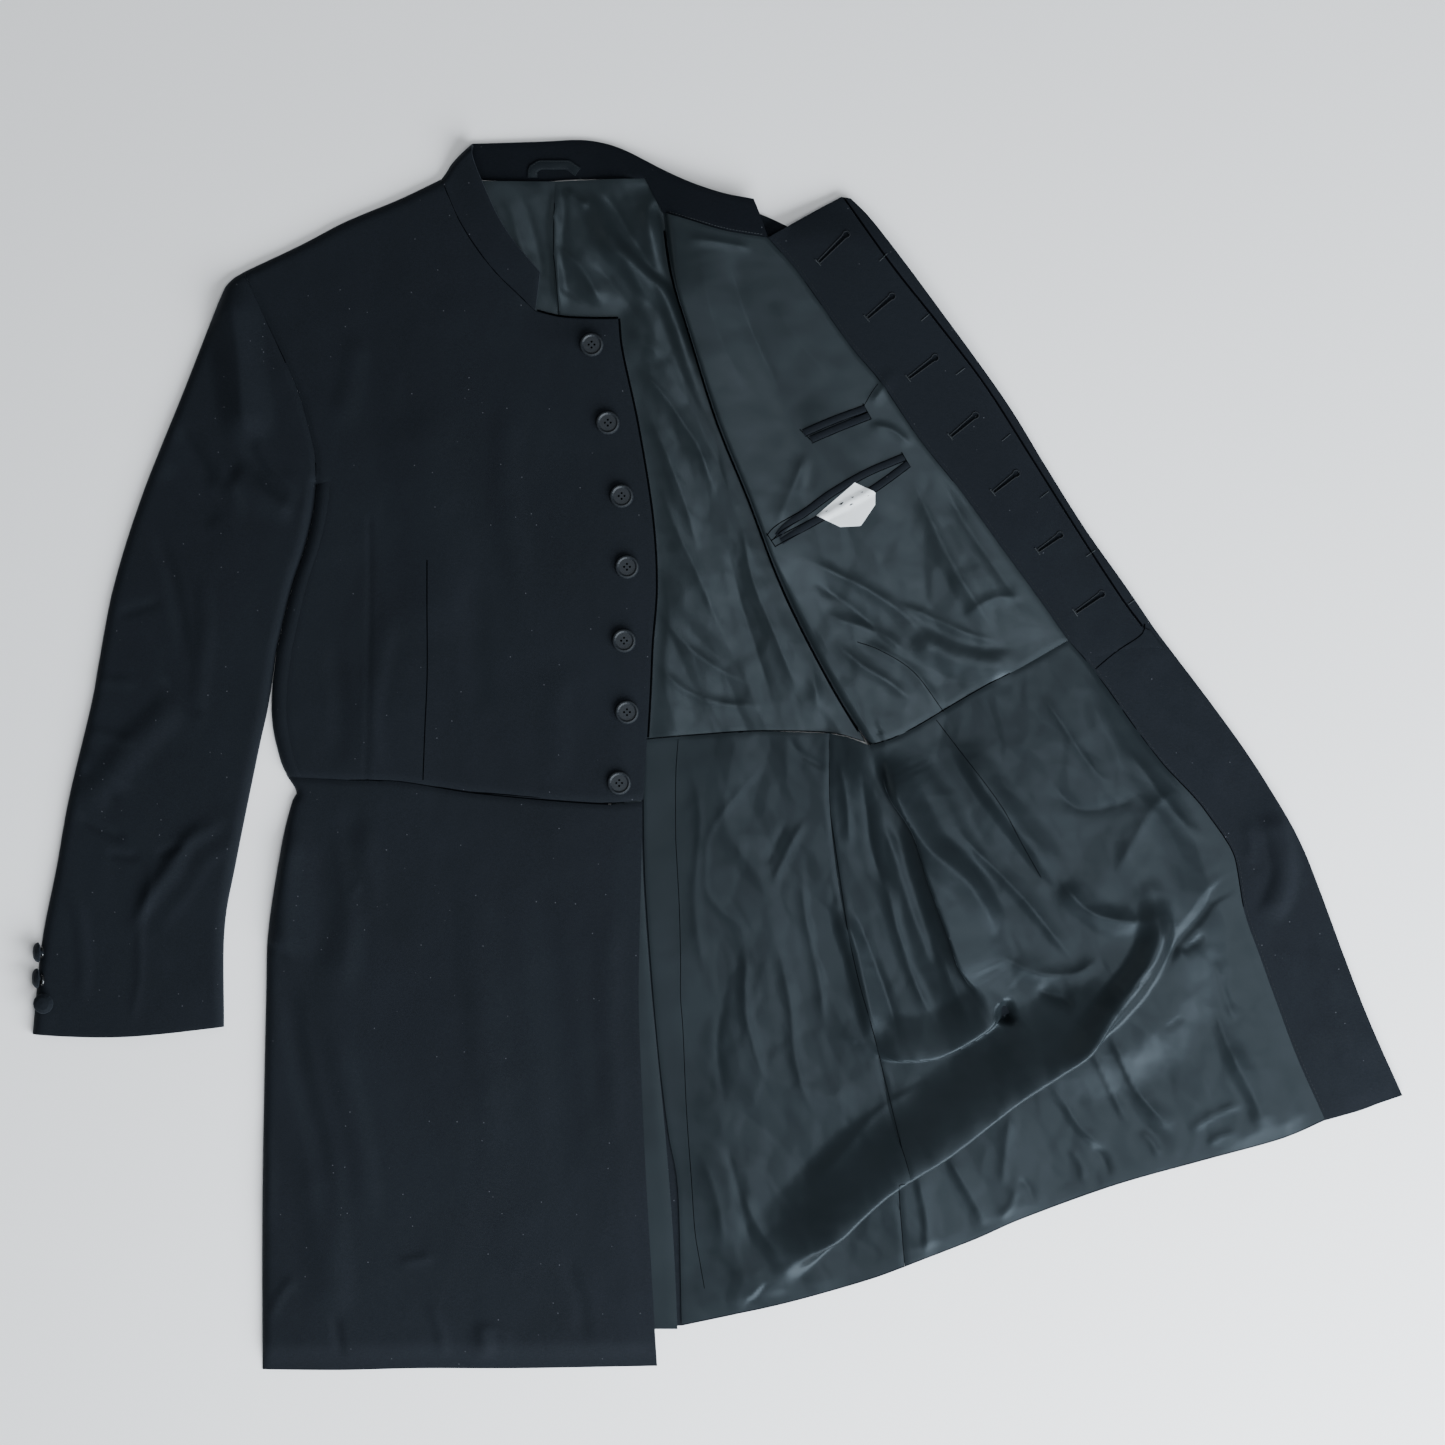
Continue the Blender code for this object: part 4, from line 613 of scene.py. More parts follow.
def lowered(grid, corner, drop):
    """The grid with its top border drawn down, up to a corner and three columns past it."""
    columns = np.clip(1 - (np.arange(grid.shape[1]) - corner) / 3.0, 0, 1)[None, :]
    v = np.linspace(0, 1, grid.shape[0])[:, None]
    grid = grid.copy()
    grid[..., 1] -= drop * columns * (1 - v) ** 4
    return grid


def unit(vectors):
    return vectors / np.linalg.norm(vectors, axis=-1, keepdims=True)


def smoothstep(t):
    t = np.clip(t, 0, 1)
    return t * t * (3 - 2 * t)


def to_line(xy, line):
    """Each point's distance from a line, its side of it (+1 left) and how far along it is."""
    best = np.full(len(xy), FAR)
    side = np.ones(len(xy))
    place = np.zeros(len(xy))
    run = lengths(line)
    for k, (a, b) in enumerate(zip(line, line[1:])):
        d = b - a
        if d @ d == 0:
            continue
        t = np.clip(((xy - a) @ d) / (d @ d), 0, 1)
        off = xy - (a + t[:, None] * d)
        distance = np.linalg.norm(off, axis=1)
        closer = distance < best
        best = np.where(closer, distance, best)
        side = np.where(closer, np.sign(d[0] * off[:, 1] - d[1] * off[:, 0]), side)
        place = np.where(closer, (run[k] + t * math.sqrt(d @ d)) / run[-1], place)
    return best, side, place


def from_edges(xy, names):
    distance = np.full(len(xy), FAR)
    for name in names:
        distance = np.minimum(distance, to_line(xy, edge(name))[0])
    return distance


def turned_down(xy, names, radius=ROLL_RADIUS):
    """1 away from these edges, falling to 0 on them in a quarter round."""
    t = np.clip(from_edges(xy, names) / radius, 0, 1)
    return np.sqrt(1 - (1 - t) ** 2)


def eased(xy, names, reach):
    return smoothstep(from_edges(xy, names) / reach)


def crests(xy, rows, fade=0.2, least=0.15):
    """Folds or creases added up. A crest fades out at both ends."""
    total = np.zeros(len(xy))
    for height, reach_left, reach_right, sharp, stations in rows:
        line = smooth_line(stations, 4)
        margin = max(reach_left, reach_right)
        inside = (xy > line.min(axis=0) - margin) & (xy < line.max(axis=0) + margin)
        near = np.nonzero(inside.all(axis=1))[0]
        if not len(near):
            continue
        distance, side, place = to_line(xy[near], line)
        t = np.clip(distance / np.where(side > 0, reach_left, reach_right), 0, 1)
        profile = (1 - t) ** 2 if sharp else np.cos(t * math.pi) * 0.5 + 0.5
        ends = smoothstep(place / fade) * smoothstep((1 - place) / fade)
        total[near] += height * profile * (least + (1 - least) * ends)
    return total


def photo_crease(layer, height, left, right, sharp, *pixels):
    """A crease's row in millimetres. The satin's low creases are sharp and reach further."""
    if layer != "right" and abs(height) < LOW_CREASE:
        sharp, left, right = 1, round(left * SATIN_CREASE_REACH), round(right * SATIN_CREASE_REACH)
    stations = [(round((x - PHOTO_ORIGIN[0]) / PIXELS_PER_MM), round((PHOTO_ORIGIN[1] - y) / PIXELS_PER_MM))
                for x, y in zip(pixels[::2], pixels[1::2])]
    return height * min(1.0, (left + right) / FULL_CREASE_REACH[layer]), left, right, sharp, stations


def fold_heights(xy, layer):
    """Main folds and finer creases; the narrower a crease, the shallower it is."""
    main = [(height, left, right, 0, crest) for height, left, right, crest in FOLDS[layer]]
    fine = [photo_crease(layer, *row) for row in CREASES[layer]]
    return crests(xy, main) + crests(xy, fine, fade=0.25, least=0.0)


def drawn_out(xy, along, stretch):
    """Places with x turned to an angle in degrees and made shorter by the stretch."""
    c, s = math.cos(math.radians(along)), math.sin(math.radians(along))
    return np.stack([(xy[:, 0] * c + xy[:, 1] * s) / stretch, xy[:, 1] * c - xy[:, 0] * s], axis=1)


def ripple(xy, size, seed, along=0, stretch=1.0):
    """A soft uneven swell of about this wavelength, from -1 to 1, drawn out along an angle."""
    random = np.random.RandomState(seed)
    xy = drawn_out(xy, along, stretch)
    total = np.zeros(len(xy))
    for _ in range(RIPPLE_WAVES):
        angle, phase = random.uniform(0, 2 * math.pi, 2)
        pitch = 2 * math.pi / (size * random.uniform(*RIPPLE_SPREAD))
        total += np.sin((xy[:, 0] * math.cos(angle) + xy[:, 1] * math.sin(angle)) * pitch + phase)
    return total / (RIPPLE_WAVES * RIPPLE_SHARE)


def crumple(xy, size, seed, along, stretch):
    """Thin cloth's crumpling, from about -1 to 1: flat facets about this long that meet in creases.

    The squares of the distances to the nearest of two sets of scattered points differ by a plane
    in each facet."""
    bend = np.stack([ripple(xy, size * BEND_SIZE, seed + k) for k in (1, 2)], axis=1)
    place = drawn_out(xy + bend * size * BEND_REACH, along, stretch) / size
    cell = np.floor(place).astype(int)
    total = np.zeros(len(xy))
    for sign in (1, -1):
        shift = np.random.RandomState(seed * 2 + sign).uniform(*SCATTER_SPREAD, (SCATTER, SCATTER, 2))
        nearest = np.full(len(xy), FAR)
        for dx in (-1, 0, 1):
            for dy in (-1, 0, 1):
                corner = cell + (dx, dy)
                centre = corner + shift[corner[:, 0] % SCATTER, corner[:, 1] % SCATTER]
                nearest = np.minimum(nearest, ((place - centre) ** 2).sum(axis=1))
        total += sign * nearest
    return total * 2


def crumpled(xy, layer):
    return sum(height * crumple(xy, *row) for height, *row in CRUMPLES[layer])


def rippled(xy, layer):
    height, *row = RIPPLES[layer]
    return height * ripple(xy, *row)


def seam_dip(xy, rows):
    """How far the cloth dips along a seam: each row is the dip, its reach and the edge's name."""
    dip = np.zeros(len(xy))
    for depth, reach, name in rows:
        dip = np.maximum(dip, depth * (1 - smoothstep(to_line(xy, edge(name))[0] / reach)))
    return dip


def underside_layer(level, seed):
    """A flat layer that rests on the surface, lifted a little here and there by shallow creases."""
    return lambda xy: level + UNDERSIDE_SWELL * np.maximum(ripple(xy, 60, seed, along=80, stretch=3.0), 0)


def vent_layer(xy):
    """The strip under the back's opening."""
    return VENT_LEVEL + rippled(xy, "vent")


def back_lining_layer(xy):
    """The satin over the back swells only where nothing lies on it."""
    open_edge = np.vstack([edge(name) for name in ("right neckline", "right front top", "right front edge")])
    distance, side, _ = to_line(xy, open_edge)
    room = smoothstep(distance * side / BESIDE_FRONT_REACH)
    distance, side, _ = to_line(xy, edge("left fold"))
    room = room * smoothstep(-distance * side / BESIDE_FOLD_REACH)
    swell = fold_heights(xy, "back") + BACK_SATIN_LIFT + crumpled(xy, "back")
    return LINING_FLOOR + np.clip(swell, 0, None) * room


def right_layer(xy):
    """Upper face of the closed right front, its skirt and the right sleeve."""
    free = eased(xy, ["right front top", "right front edge", "right skirt front"], FREE_EDGE_REACH)
    swell = fold_heights(xy, "right") + crumpled(xy, "right") + rippled(xy, "right")
    level = RIGHT_EDGE_LEVEL + (RIGHT_LEVEL - RIGHT_EDGE_LEVEL + swell) * free
    level = WOOL + (level - WOOL) * eased(xy, ["right hem"], HEM_DROOP_REACH)
    level = level * turned_down(xy, ["right shoulder", "underarm", "right side", "right skirt side",
                                     "right sleeve back", "right sleeve front"])
    return level - seam_dip(xy, RIGHT_SEAMS)


def left_layer(xy):
    """High over the back's edge and over the sleeve under it, low beside them."""
    cover = np.zeros(len(xy))
    for a, half_a, b, half_b in LEFT_SUPPORTS:
        distance, _, place = to_line(xy, np.array([a, b], float))
        outside = distance - (half_a + (half_b - half_a) * place)
        cover = np.maximum(cover, 1 - smoothstep(outside / LEFT_SLOPE_REACH))
    return LINING_LEVEL + (LEFT_OVER_SLEEVE - LINING_LEVEL) * cover


def left_swell(xy):
    """Folds, and the satin's small uneven waves, which the wool facing doesn't have."""
    inside = eased(xy, ["facing seam", "skirt facing seam"], BESIDE_FACING_REACH)
    calm = CALM_SHARE + (1 - CALM_SHARE) * smoothstep((CALM_START - xy[:, 1]) / CALM_REACH)
    return fold_heights(xy, "left") + inside * calm * (LEFT_SATIN_LIFT + crumpled(xy, "left"))


def left_front_layer(xy):
    """The left front rises from its fold edge, which lies on the lining of the back."""
    rest = LINING_LEVEL + LAYER_GAP
    full = np.maximum(left_layer(xy) + left_swell(xy), LINING_LEVEL)
    return rest + (full - rest) * turned_down(xy, ["left fold"], LEFT_ROLL) - seam_dip(xy, LEFT_SEAMS)


def left_skirt_layer(xy):
    """The left skirt lies on the surface near its vent and on the sleeve further out."""
    raised = smoothstep((xy[:, 0] - SKIRT_RISE_START) / SKIRT_RISE_REACH)
    swell = left_swell(xy) * smoothstep((xy[:, 0] - SKIRT_SWELL_START) / SKIRT_SWELL_REACH)
    free = eased(xy, ["left back hem", "left front hem", "facing hem"], SKIRT_HEM_REACH)
    hem = SKIRT_HEM_SHARE + (1 - SKIRT_HEM_SHARE) * free
    base = LINING_LEVEL + (left_layer(xy) - LINING_LEVEL) * raised
    return np.maximum(base + swell * hem - seam_dip(xy, LEFT_SEAMS), LINING_FLOOR)


def facing_layer(xy):
    """The facing lies on the left front above the waist and on its skirt below, and its front edge
    rolls a little."""
    upper = left_front_layer(xy)
    lower = left_skirt_layer(xy)
    distance, side, _ = to_line(xy, smooth_line(FACING_BLEND))
    blend = smoothstep(0.5 + distance * side / WAIST_BLEND_REACH)
    roll = smoothstep(1 - np.abs(from_edges(xy, ["left front edge"]) - FRONT_ROLL_PLACE) / FRONT_ROLL_REACH)
    return lower + (upper - lower + FRONT_EDGE_ROLL * roll) * blend


def under_left_front(xy):
    return left_front_layer(xy) - SHELL_DROP


def under_left_skirt(xy):
    return np.maximum(left_skirt_layer(xy) - SHELL_DROP, LINING_LEVEL)


def left_sleeve_layer(xy):
    return LEFT_SLEEVE_LEVEL * turned_down(xy, ["left sleeve back", "left sleeve front"], SLEEVE_ROLL)


def right_collar_layer(xy):
    """The right half of the collar leans up from its seam to its free edge."""
    rise = eased(xy, ["right neckline"], COLLAR_RISE_REACH)
    seam = RIGHT_LEVEL - COLLAR_SEAM_DROP
    level = seam + (COLLAR_FREE_LEVEL - seam) * rise
    return level * turned_down(xy, ["collar turn"], COLLAR_TURN_RADIUS) + rippled(xy, "right collar")


def back_collar_layer(xy):
    """The collar's inner side, which rises to the left over the thrown open front."""
    rise = smoothstep((xy[:, 0] - COLLAR_LEFT_START) / COLLAR_LEFT_REACH)
    return COLLAR_WALL + (LEFT_OVER_SLEEVE - COLLAR_WALL) * rise + rippled(xy, "back collar")


def leant(xy):
    """Places shifted along with the crests of the folds that lean over."""
    xy = np.array(xy, float)
    shift = np.zeros_like(xy)
    for reach, way, left, right, crest in LEANING_FOLDS:
        shift += crests(xy, [(reach, left, right, 0, crest)], least=0.0)[:, None] * way
    return xy + shift


def lifted(layer, grid, leans):
    """A grid of places lifted onto a layer's face, and the normals there."""
    heights = layer(grid.reshape(-1, 2)).reshape(grid.shape[:-1])
    if leans:
        grid = leant(grid.reshape(-1, 2)).reshape(grid.shape)
    points = np.concatenate([grid, heights[..., None]], axis=-1)
    normals = np.cross(np.gradient(points, axis=1), -np.gradient(points, axis=0))
    return points, unit(normals)


def new_object(name, data):
    made = bpy.data.objects.new(name, data)
    bpy.context.collection.objects.link(made)
    return made


def new_mesh(name, points, faces, material, sharp=50):
    """One mesh object in the model's frame, riding on it."""
    mesh = bpy.data.meshes.new(name)
    mesh.from_pydata(((np.asarray(points, float) + SHIFT) * MM).tolist(), [], faces)
    mesh.validate()
    mesh.materials.append(material)
    mesh.shade_smooth()
    mesh.set_sharp_from_angle(angle=math.radians(sharp))
    made = new_object(name, mesh)
    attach(made, "root")
    return made


def shell(name, points, normals, high, thickness, material, cells=None, floor=SURFACE_GAP):
    """A thin closed shell under a lifted grid, with its rim rounded over."""
    rows, columns = points.shape[0] - 1, points.shape[1] - 1
    cells = np.ones((rows, columns), bool) if cells is None else cells
    centres = (points[:-1, :-1] + points[1:, :-1] + points[:-1, 1:] + points[1:, 1:])[..., :2] / 4
    used = np.zeros((rows + 1, columns + 1), int)
    middle = np.zeros((rows + 1, columns + 1, 2))
    for corner in (np.s_[:-1, :-1], np.s_[1:, :-1], np.s_[:-1, 1:], np.s_[1:, 1:]):
        used[corner] += cells
        middle[corner] += centres * cells[..., None]
    points = points.copy()
    rim = (used > 0) & (used < 4)
    pull = middle[rim] / used[rim][:, None] - points[rim][:, :2]
    points[rim, :2] += unit(pull) * RIM_PULL
    upper = points + normals * high
    lower = points + normals * (high - thickness)
    upper[rim, 2] -= RIM_ROUND * thickness
    lower[rim, 2] += RIM_ROUND * thickness
    lower[..., 2] = np.maximum(lower[..., 2], floor)
    upper[..., 2] = np.maximum(upper[..., 2], floor + LEAST_SHELL)
    count = int((used > 0).sum())
    index = np.full(used.shape, -1)
    index[used > 0] = np.arange(count)
    i, j = np.nonzero(cells)
    top = np.stack([index[i, j], index[i + 1, j], index[i + 1, j + 1], index[i, j + 1]], axis=1)
    ways = np.concatenate([top[:, [k, (k + 1) % 4]] for k in range(4)]).tolist()
    keys = set(map(tuple, ways))
    sides = [(b, a, a + count, b + count) for a, b in ways if (b, a) not in keys]
    faces = top.tolist() + (top[:, ::-1] + count).tolist() + sides
    return new_mesh(name, np.vstack([upper[used > 0], lower[used > 0]]), faces, material)


def cloth(name, node, grid, layer, material, high=0.0, thickness=WOOL_SHELL, rests_on=(), cells=None,
          floor=SURFACE_GAP, slot="wool", leans=False):
    """A shell that stands for a solid, cut to the pattern's size."""
    points, normals = lifted(layer, grid, leans)
    made = shell(name, points, normals, high, thickness, material, cells, floor)
    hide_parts(node)
    part = grid
    if cells is not None:
        rows, columns = cells.any(axis=1).nonzero()[0], cells.any(axis=0).nonzero()[0]
        part = grid[rows[0]:rows[-1] + 2, columns[0]:columns[-1] + 2]
    wide = np.linalg.norm(np.diff(part, axis=1), axis=2).sum(axis=1).max() * MM
    tall = np.linalg.norm(np.diff(part, axis=0), axis=2).sum(axis=0).max() * MM
    a, b, c = grid[:-1, :-1], grid[1:, :-1], grid[:-1, 1:]
    area = np.abs(np.cross(b - a, c - a))
    area = float((area if cells is None else area[cells]).sum()) * MM * MM
    area = min(max(area, LEAST_SHEET_SHARE * wide * tall), wide * tall)
    SURFACES[name] = made
    return made


def piece(name, node, sides, layer, material, step=STEP, roll="", squeeze=None, **how):
    """A cloth piece filled in between its top, bottom, left and right edges, squeezed inwards where
    it lies inside another."""
    grid, _, _ = patch(*sides, step=step, roll=roll)
    return cloth(name, node, inset(grid, *squeeze) if squeeze else grid, layer, material, **how)


def height_on(names, x, y):
    """Height of the highest face of these pieces at a place."""
    best = 0.0
    start = Vector(((x + SHIFT[0]) * MM, (y + SHIFT[1]) * MM, 0.2))
    for name in names:
        hit, place, _, _ = SURFACES[name].ray_cast(start, Vector((0, 0, -1)))
        if hit:
            best = max(best, place.z / MM)
    return best


def on_cloth(path, names, lift=0.0):
    """A path's places set on pieces of cloth; places beside the cloth are left out."""
    places = [(x, y, height_on(names, x, y)) for x, y in leant(path)]
    return [(x, y, z + lift) for x, y, z in places if z > 0]


def dense(path, step):
    line = np.array(path, float)
    run = lengths(line)
    return at_lengths(line, np.linspace(0, run[-1], max(2, round(run[-1] / step)) + 1))


def quarter_turned(ways):
    return np.stack([-ways[..., 1], ways[..., 0]], axis=-1)


def square_to(line):
    """Unit vectors to the left of a line, at its points."""
    return quarter_turned(unit(np.gradient(line, axis=0)))


def way_and_square(start, end):
    """The unit vector from one place to another, and the one to its left."""
    way = unit(np.subtract(end, start))
    return way, quarter_turned(way)


def tube(points, radius, sides=6, flat=1.0):
    """Points and faces of a closed tube along a path of places."""
    path = np.array(points, float)
    way = np.gradient(path, axis=0)
    way /= np.linalg.norm(way, axis=1)[:, None] + 1e-9
    across = np.cross(way, (0, 0, 1.0))
    across /= np.linalg.norm(across, axis=1)[:, None] + 1e-9
    up = np.cross(across, way)
    ring = np.arange(sides) * 2 * math.pi / sides
    grid = (path[:, None] + across[:, None] * np.cos(ring)[None, :, None] * radius
            + up[:, None] * np.sin(ring)[None, :, None] * radius * flat)
    faces = []
    for k in range(len(path) - 1):
        for s in range(sides):
            n = (s + 1) % sides
            faces.append([k * sides + s, (k + 1) * sides + s, (k + 1) * sides + n, k * sides + n])
    faces.append(list(range(sides)))
    faces.append([(len(path) - 1) * sides + s for s in reversed(range(sides))])
    return grid.reshape(-1, 3), faces


def joined(name, shapes, material):
    """Many small shapes as one piece."""
    points, faces, start = [], [], 0
    for p, f in shapes:
        points.append(p)
        faces += [[k + start for k in face] for face in f]
        start += len(p)
    made = new_mesh(name, np.vstack(points), faces, material, sharp=80)


def stitches(name, paths, names, material, pitch=3.2, radius=THREAD, lift=0.1):
    """Rows of sewn stitches along paths that lie on cloth. Each is a thread with its ends sunk in."""
    shapes = []
    for path in paths:
        for k in range(int(lengths(path)[-1] / pitch)):
            ends = np.array([k, k + STITCH_SHARE * 0.5, k + STITCH_SHARE]) * pitch
            places = np.array(on_cloth(at_lengths(path, ends), names, lift))
            if len(places) == len(ends):
                places[[0, 2], 2] -= STITCH_SUNK
                shapes.append(tube(places, radius, 5, 0.8))
    joined(name, shapes, material)


def painted_shade_lines(name, paths, names, material, radius=0.35, lift=-0.05, step=4.0):
    """Thin dark lines of painted shade laid along paths: where two edges of cloth meet, under rolled edges
    and around pockets.
    """
    lines = [on_cloth(dense(smooth_line(path, 6), step), names, lift) for path in paths]
    joined(name, [tube(line, radius, 5, 0.6) for line in lines if len(line) > 1], material)


def keyhole(eye, bar, grow=0.0):
    """A slit that widens from its bar to a round eye, as an outline that runs counterclockwise."""
    way, square = way_and_square(bar, eye)
    half, radius = BUTTONHOLE_CUT / 2 + grow, BUTTONHOLE_EYE / 2 + grow
    neck = math.asin(half / radius)
    heading = math.atan2(way[1], way[0])
    narrow = BUTTONHOLE_TIP / 2 + grow
    points = [bar + square * side * narrow - way * grow for side in (1, -1)]
    for t in np.linspace(0, 1, 13):
        angle = heading - math.pi + neck + (2 * math.pi - 2 * neck) * t
        points.append(eye + np.array((math.cos(angle), math.sin(angle))) * radius)
    return points


def cut_slits(made):
    """Cuts the buttonholes through the strip."""
    points, faces = [], []
    for eye, bar in BUTTONHOLES:
        outline = keyhole(eye, bar)
        start, count = len(points), len(outline)
        points += [(x, y, z) for z in SLIT_CUTTER_ENDS for x, y in outline]
        faces.append(list(reversed(range(start, start + count))))
        faces.append(list(range(start + count, start + 2 * count)))
        for k in range(count):
            n = (k + 1) % count
            faces.append([start + k, start + n, start + count + n, start + count + k])
    mesh = bpy.data.meshes.new("slit_cutter")
    mesh.from_pydata(((np.array(points) + SHIFT) * MM).tolist(), [], faces)
    cutter = new_object("slit_cutter", mesh)
    modifier = made.modifiers.new("slits", "BOOLEAN")
    modifier.operation = "DIFFERENCE"
    modifier.solver = "EXACT"
    modifier.object = cutter
    solid = made.evaluated_get(bpy.context.evaluated_depsgraph_get())
    old = made.data
    made.data = bpy.data.meshes.new_from_object(solid)
    made.modifiers.clear()
    bpy.data.objects.remove(cutter)
    bpy.data.meshes.remove(old)


def tape(path, width, count):
    """Places across a flat tape along a path, with mitred corners and square ends."""
    line = np.array(path, float)
    ways = unit(np.diff(line, axis=0))
    before, after = np.vstack([ways[:1], ways]), np.vstack([ways, ways[-1:]])
    along = unit(before + after)
    reach = quarter_turned(along) * width / 2 / (along * before).sum(axis=1)[:, None]
    return np.stack([line + reach * side for side in np.linspace(-1, 1, count)], axis=1)


def laid(name, node, grid, under, material, lift, thickness, crown=0.0):
    """A small cloth piece that lies on others, over a grid of places, crowned across its width."""
    heights = np.array([height_on(under, x, y) for x, y in grid.reshape(-1, 2)]).reshape(grid.shape[:-1])
    u = np.linspace(-1, 1, grid.shape[1])[None]
    heights += lift + thickness + crown * (1 - u ** 2)
    points = np.concatenate([grid, heights[..., None]], axis=-1)
    normals = np.zeros_like(points)
    normals[..., 2] = 1
    down, across = grid[1, 0] - grid[0, 0], grid[0, 1] - grid[0, 0]
    if down[0] * across[1] - down[1] * across[0] < 0:
        points, normals = points[:, ::-1], normals[:, ::-1]
    made = shell(name, points, normals, 0, thickness, material)
    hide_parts(node)
    SURFACES[name] = made


class Nodes:
    """Short names for making a material's nodes."""

    def __init__(self, name, **inputs):
        self.made = bpy.data.materials.new(name)
        self.made.use_nodes = True
        self.tree = self.made.node_tree
        self.shader = self.tree.nodes["Principled BSDF"]
        for key, value in inputs.items():
            self.shader.inputs[key.replace("_", " ").title().replace("Ior", "IOR")].default_value = value
        self.place = self.add("TexCoord").outputs["Object"]

    def add(self, kind, *links, **values):
        """A node with its inputs and settings by name; an input's "_" stands for a space."""
        node = self.tree.nodes.new("ShaderNode" + kind)
        for key, value in values.items():
            words = key.replace("_", " ")
            if words in node.inputs:
                node.inputs[words].default_value = value
            else:
                setattr(node, key, value)
        for socket, source in links:
            self.link(source, node.inputs[socket])
        return node

    def link(self, source, target):
        self.tree.links.new(source, target)

    def turned(self, degrees, scale=(1, 1, 1)):
        """The object's own coordinates in metres, turned about z and scaled."""
        return self.add("Mapping", ("Vector", self.place), Rotation=(0, 0, math.radians(degrees)),
                        Scale=scale).outputs[0]

    def noise(self, scale, detail=2.0, rough=0.5, vector=None):
        return self.add("TexNoise", ("Vector", vector or self.place), Scale=scale, Detail=detail,
                        Roughness=rough).outputs["Fac"]

    def wave(self, degrees, scale, distortion, **values):
        return self.add("TexWave", ("Vector", self.turned(degrees)), Scale=scale, Distortion=distortion,
                        **values).outputs["Fac"]

    def ramp(self, source, low, high, a=0.0, b=1.0):
        return self.add("MapRange", ("Value", source), From_Min=low, From_Max=high, To_Min=a,
                        To_Max=b).outputs[0]

    def mix(self, factor, a, b):
        node = self.add("Mix", ("Factor", factor), data_type="RGBA")
        for socket, value in ((node.inputs[6], a), (node.inputs[7], b)):
            if isinstance(value, tuple):
                socket.default_value = value + (1.0,)
            else:
                self.link(value, socket)
        return node.outputs[2]

    def bump(self, height, strength, distance, under=None):
        node = self.add("Bump", ("Height", height), Strength=strength, Distance=distance)
        if under is not None:
            self.link(under, node.inputs["Normal"])
        return node.outputs[0]

    def out(self, colour, roughness=None, normal=None):
        for source, key in ((colour, "Base Color"), (roughness, "Roughness"), (normal, "Normal")):
            if source is not None:
                self.link(source, self.shader.inputs[key])
        return self.made


def shade(colour, factor):
    return tuple(c * factor for c in colour)


def wool_material(name, base, nap=0.08):
    """Fine black twill with a short nap, a little lint and uneven shade."""
    m = Nodes(name, sheen_weight=nap, sheen_roughness=0.45, sheen_tint=(0.60, 0.68, 0.80, 1.0),
              specular_ior_level=0.12)
    twill = m.wave(TWILL_ANGLE, 420.0, 1.2, Detail=1.0, Detail_Scale=2.0)
    grain = m.noise(1300.0, 2.0, 0.7)
    fibre = m.noise(300.0, 3.0, 0.7, m.turned(TWILL_ANGLE, (1, 4, 1)))
    colour = m.mix(m.ramp(m.noise(9.0, 3.0, 0.55), 0.3, 0.7), shade(base, 0.80), shade(base, 1.15))
    colour = m.mix(m.ramp(grain, 0.35, 0.75, 0.0, 0.6), colour, shade(base, 2.4))
    lint = m.add("TexVoronoi", ("Vector", m.place), Scale=90.0)
    speck = m.ramp(lint.outputs["Distance"], 0.035, 0.05, 0.55, 0.0)
    colour = m.mix(speck, colour, (0.10, 0.10, 0.11))
    normal = m.bump(grain, 0.35, 0.0003, m.bump(twill, 0.22, 0.0003))
    return m.out(colour, m.ramp(fibre, 0.3, 0.7, 0.74, 0.92), m.bump(fibre, 0.25, 0.0004, normal))


def satin_material(name, base, angle, gloss):
    """Smooth satin: a soft wide gloss, a little uneven, with fine drawn-out wrinkles."""
    m = Nodes(name, sheen_weight=0.05, sheen_roughness=0.4, sheen_tint=(0.70, 0.85, 0.95, 1.0),
              specular_ior_level=gloss, anisotropic=0.25, specular_tint=(0.80, 0.92, 1.0, 1.0))
    long = m.turned(angle, (1, 1.7, 1))
    broad = m.noise(11.0, 2.0, 0.45, long)
    fine = m.noise(60.0, 2.0, 0.5, long)
    weave = m.noise(1800.0, 1.0, 0.5, m.turned(angle, (1, 6, 1)))
    pinch = m.add("TexNoise", ("Vector", m.turned(angle, (1, 1.5, 1))), noise_type="RIDGED_MULTIFRACTAL",
                  Scale=26.0, Detail=2.0, Roughness=0.4, Distortion=0.6)
    wrinkle = m.add("Math", ("Value", pinch.outputs["Fac"]), operation="MULTIPLY")
    m.link(m.ramp(m.noise(7.0, 1.0), 0.5, 0.72), wrinkle.inputs[1])
    colour = m.mix(m.ramp(broad, 0.3, 0.7), shade(base, 0.86), shade(base, 1.14))
    normal = m.bump(wrinkle.outputs[0], 0.30, 0.0016, m.bump(broad, 0.25, 0.006))
    return m.out(colour, m.ramp(fine, 0.3, 0.7, 0.33, 0.40), m.bump(weave, 0.12, 0.0002, normal))


def horn_material():
    m = Nodes("horn_button", specular_ior_level=0.22)
    streak = m.noise(260.0, 3.0, 0.6, m.turned(20, (1, 5, 1)))
    colour = m.mix(m.ramp(streak, 0.3, 0.75), (0.0085, 0.0100, 0.0120), (0.0150, 0.0175, 0.0205))
    return m.out(colour, m.ramp(streak, 0.2, 0.8, 0.38, 0.50), m.bump(streak, 0.08, 0.0003))


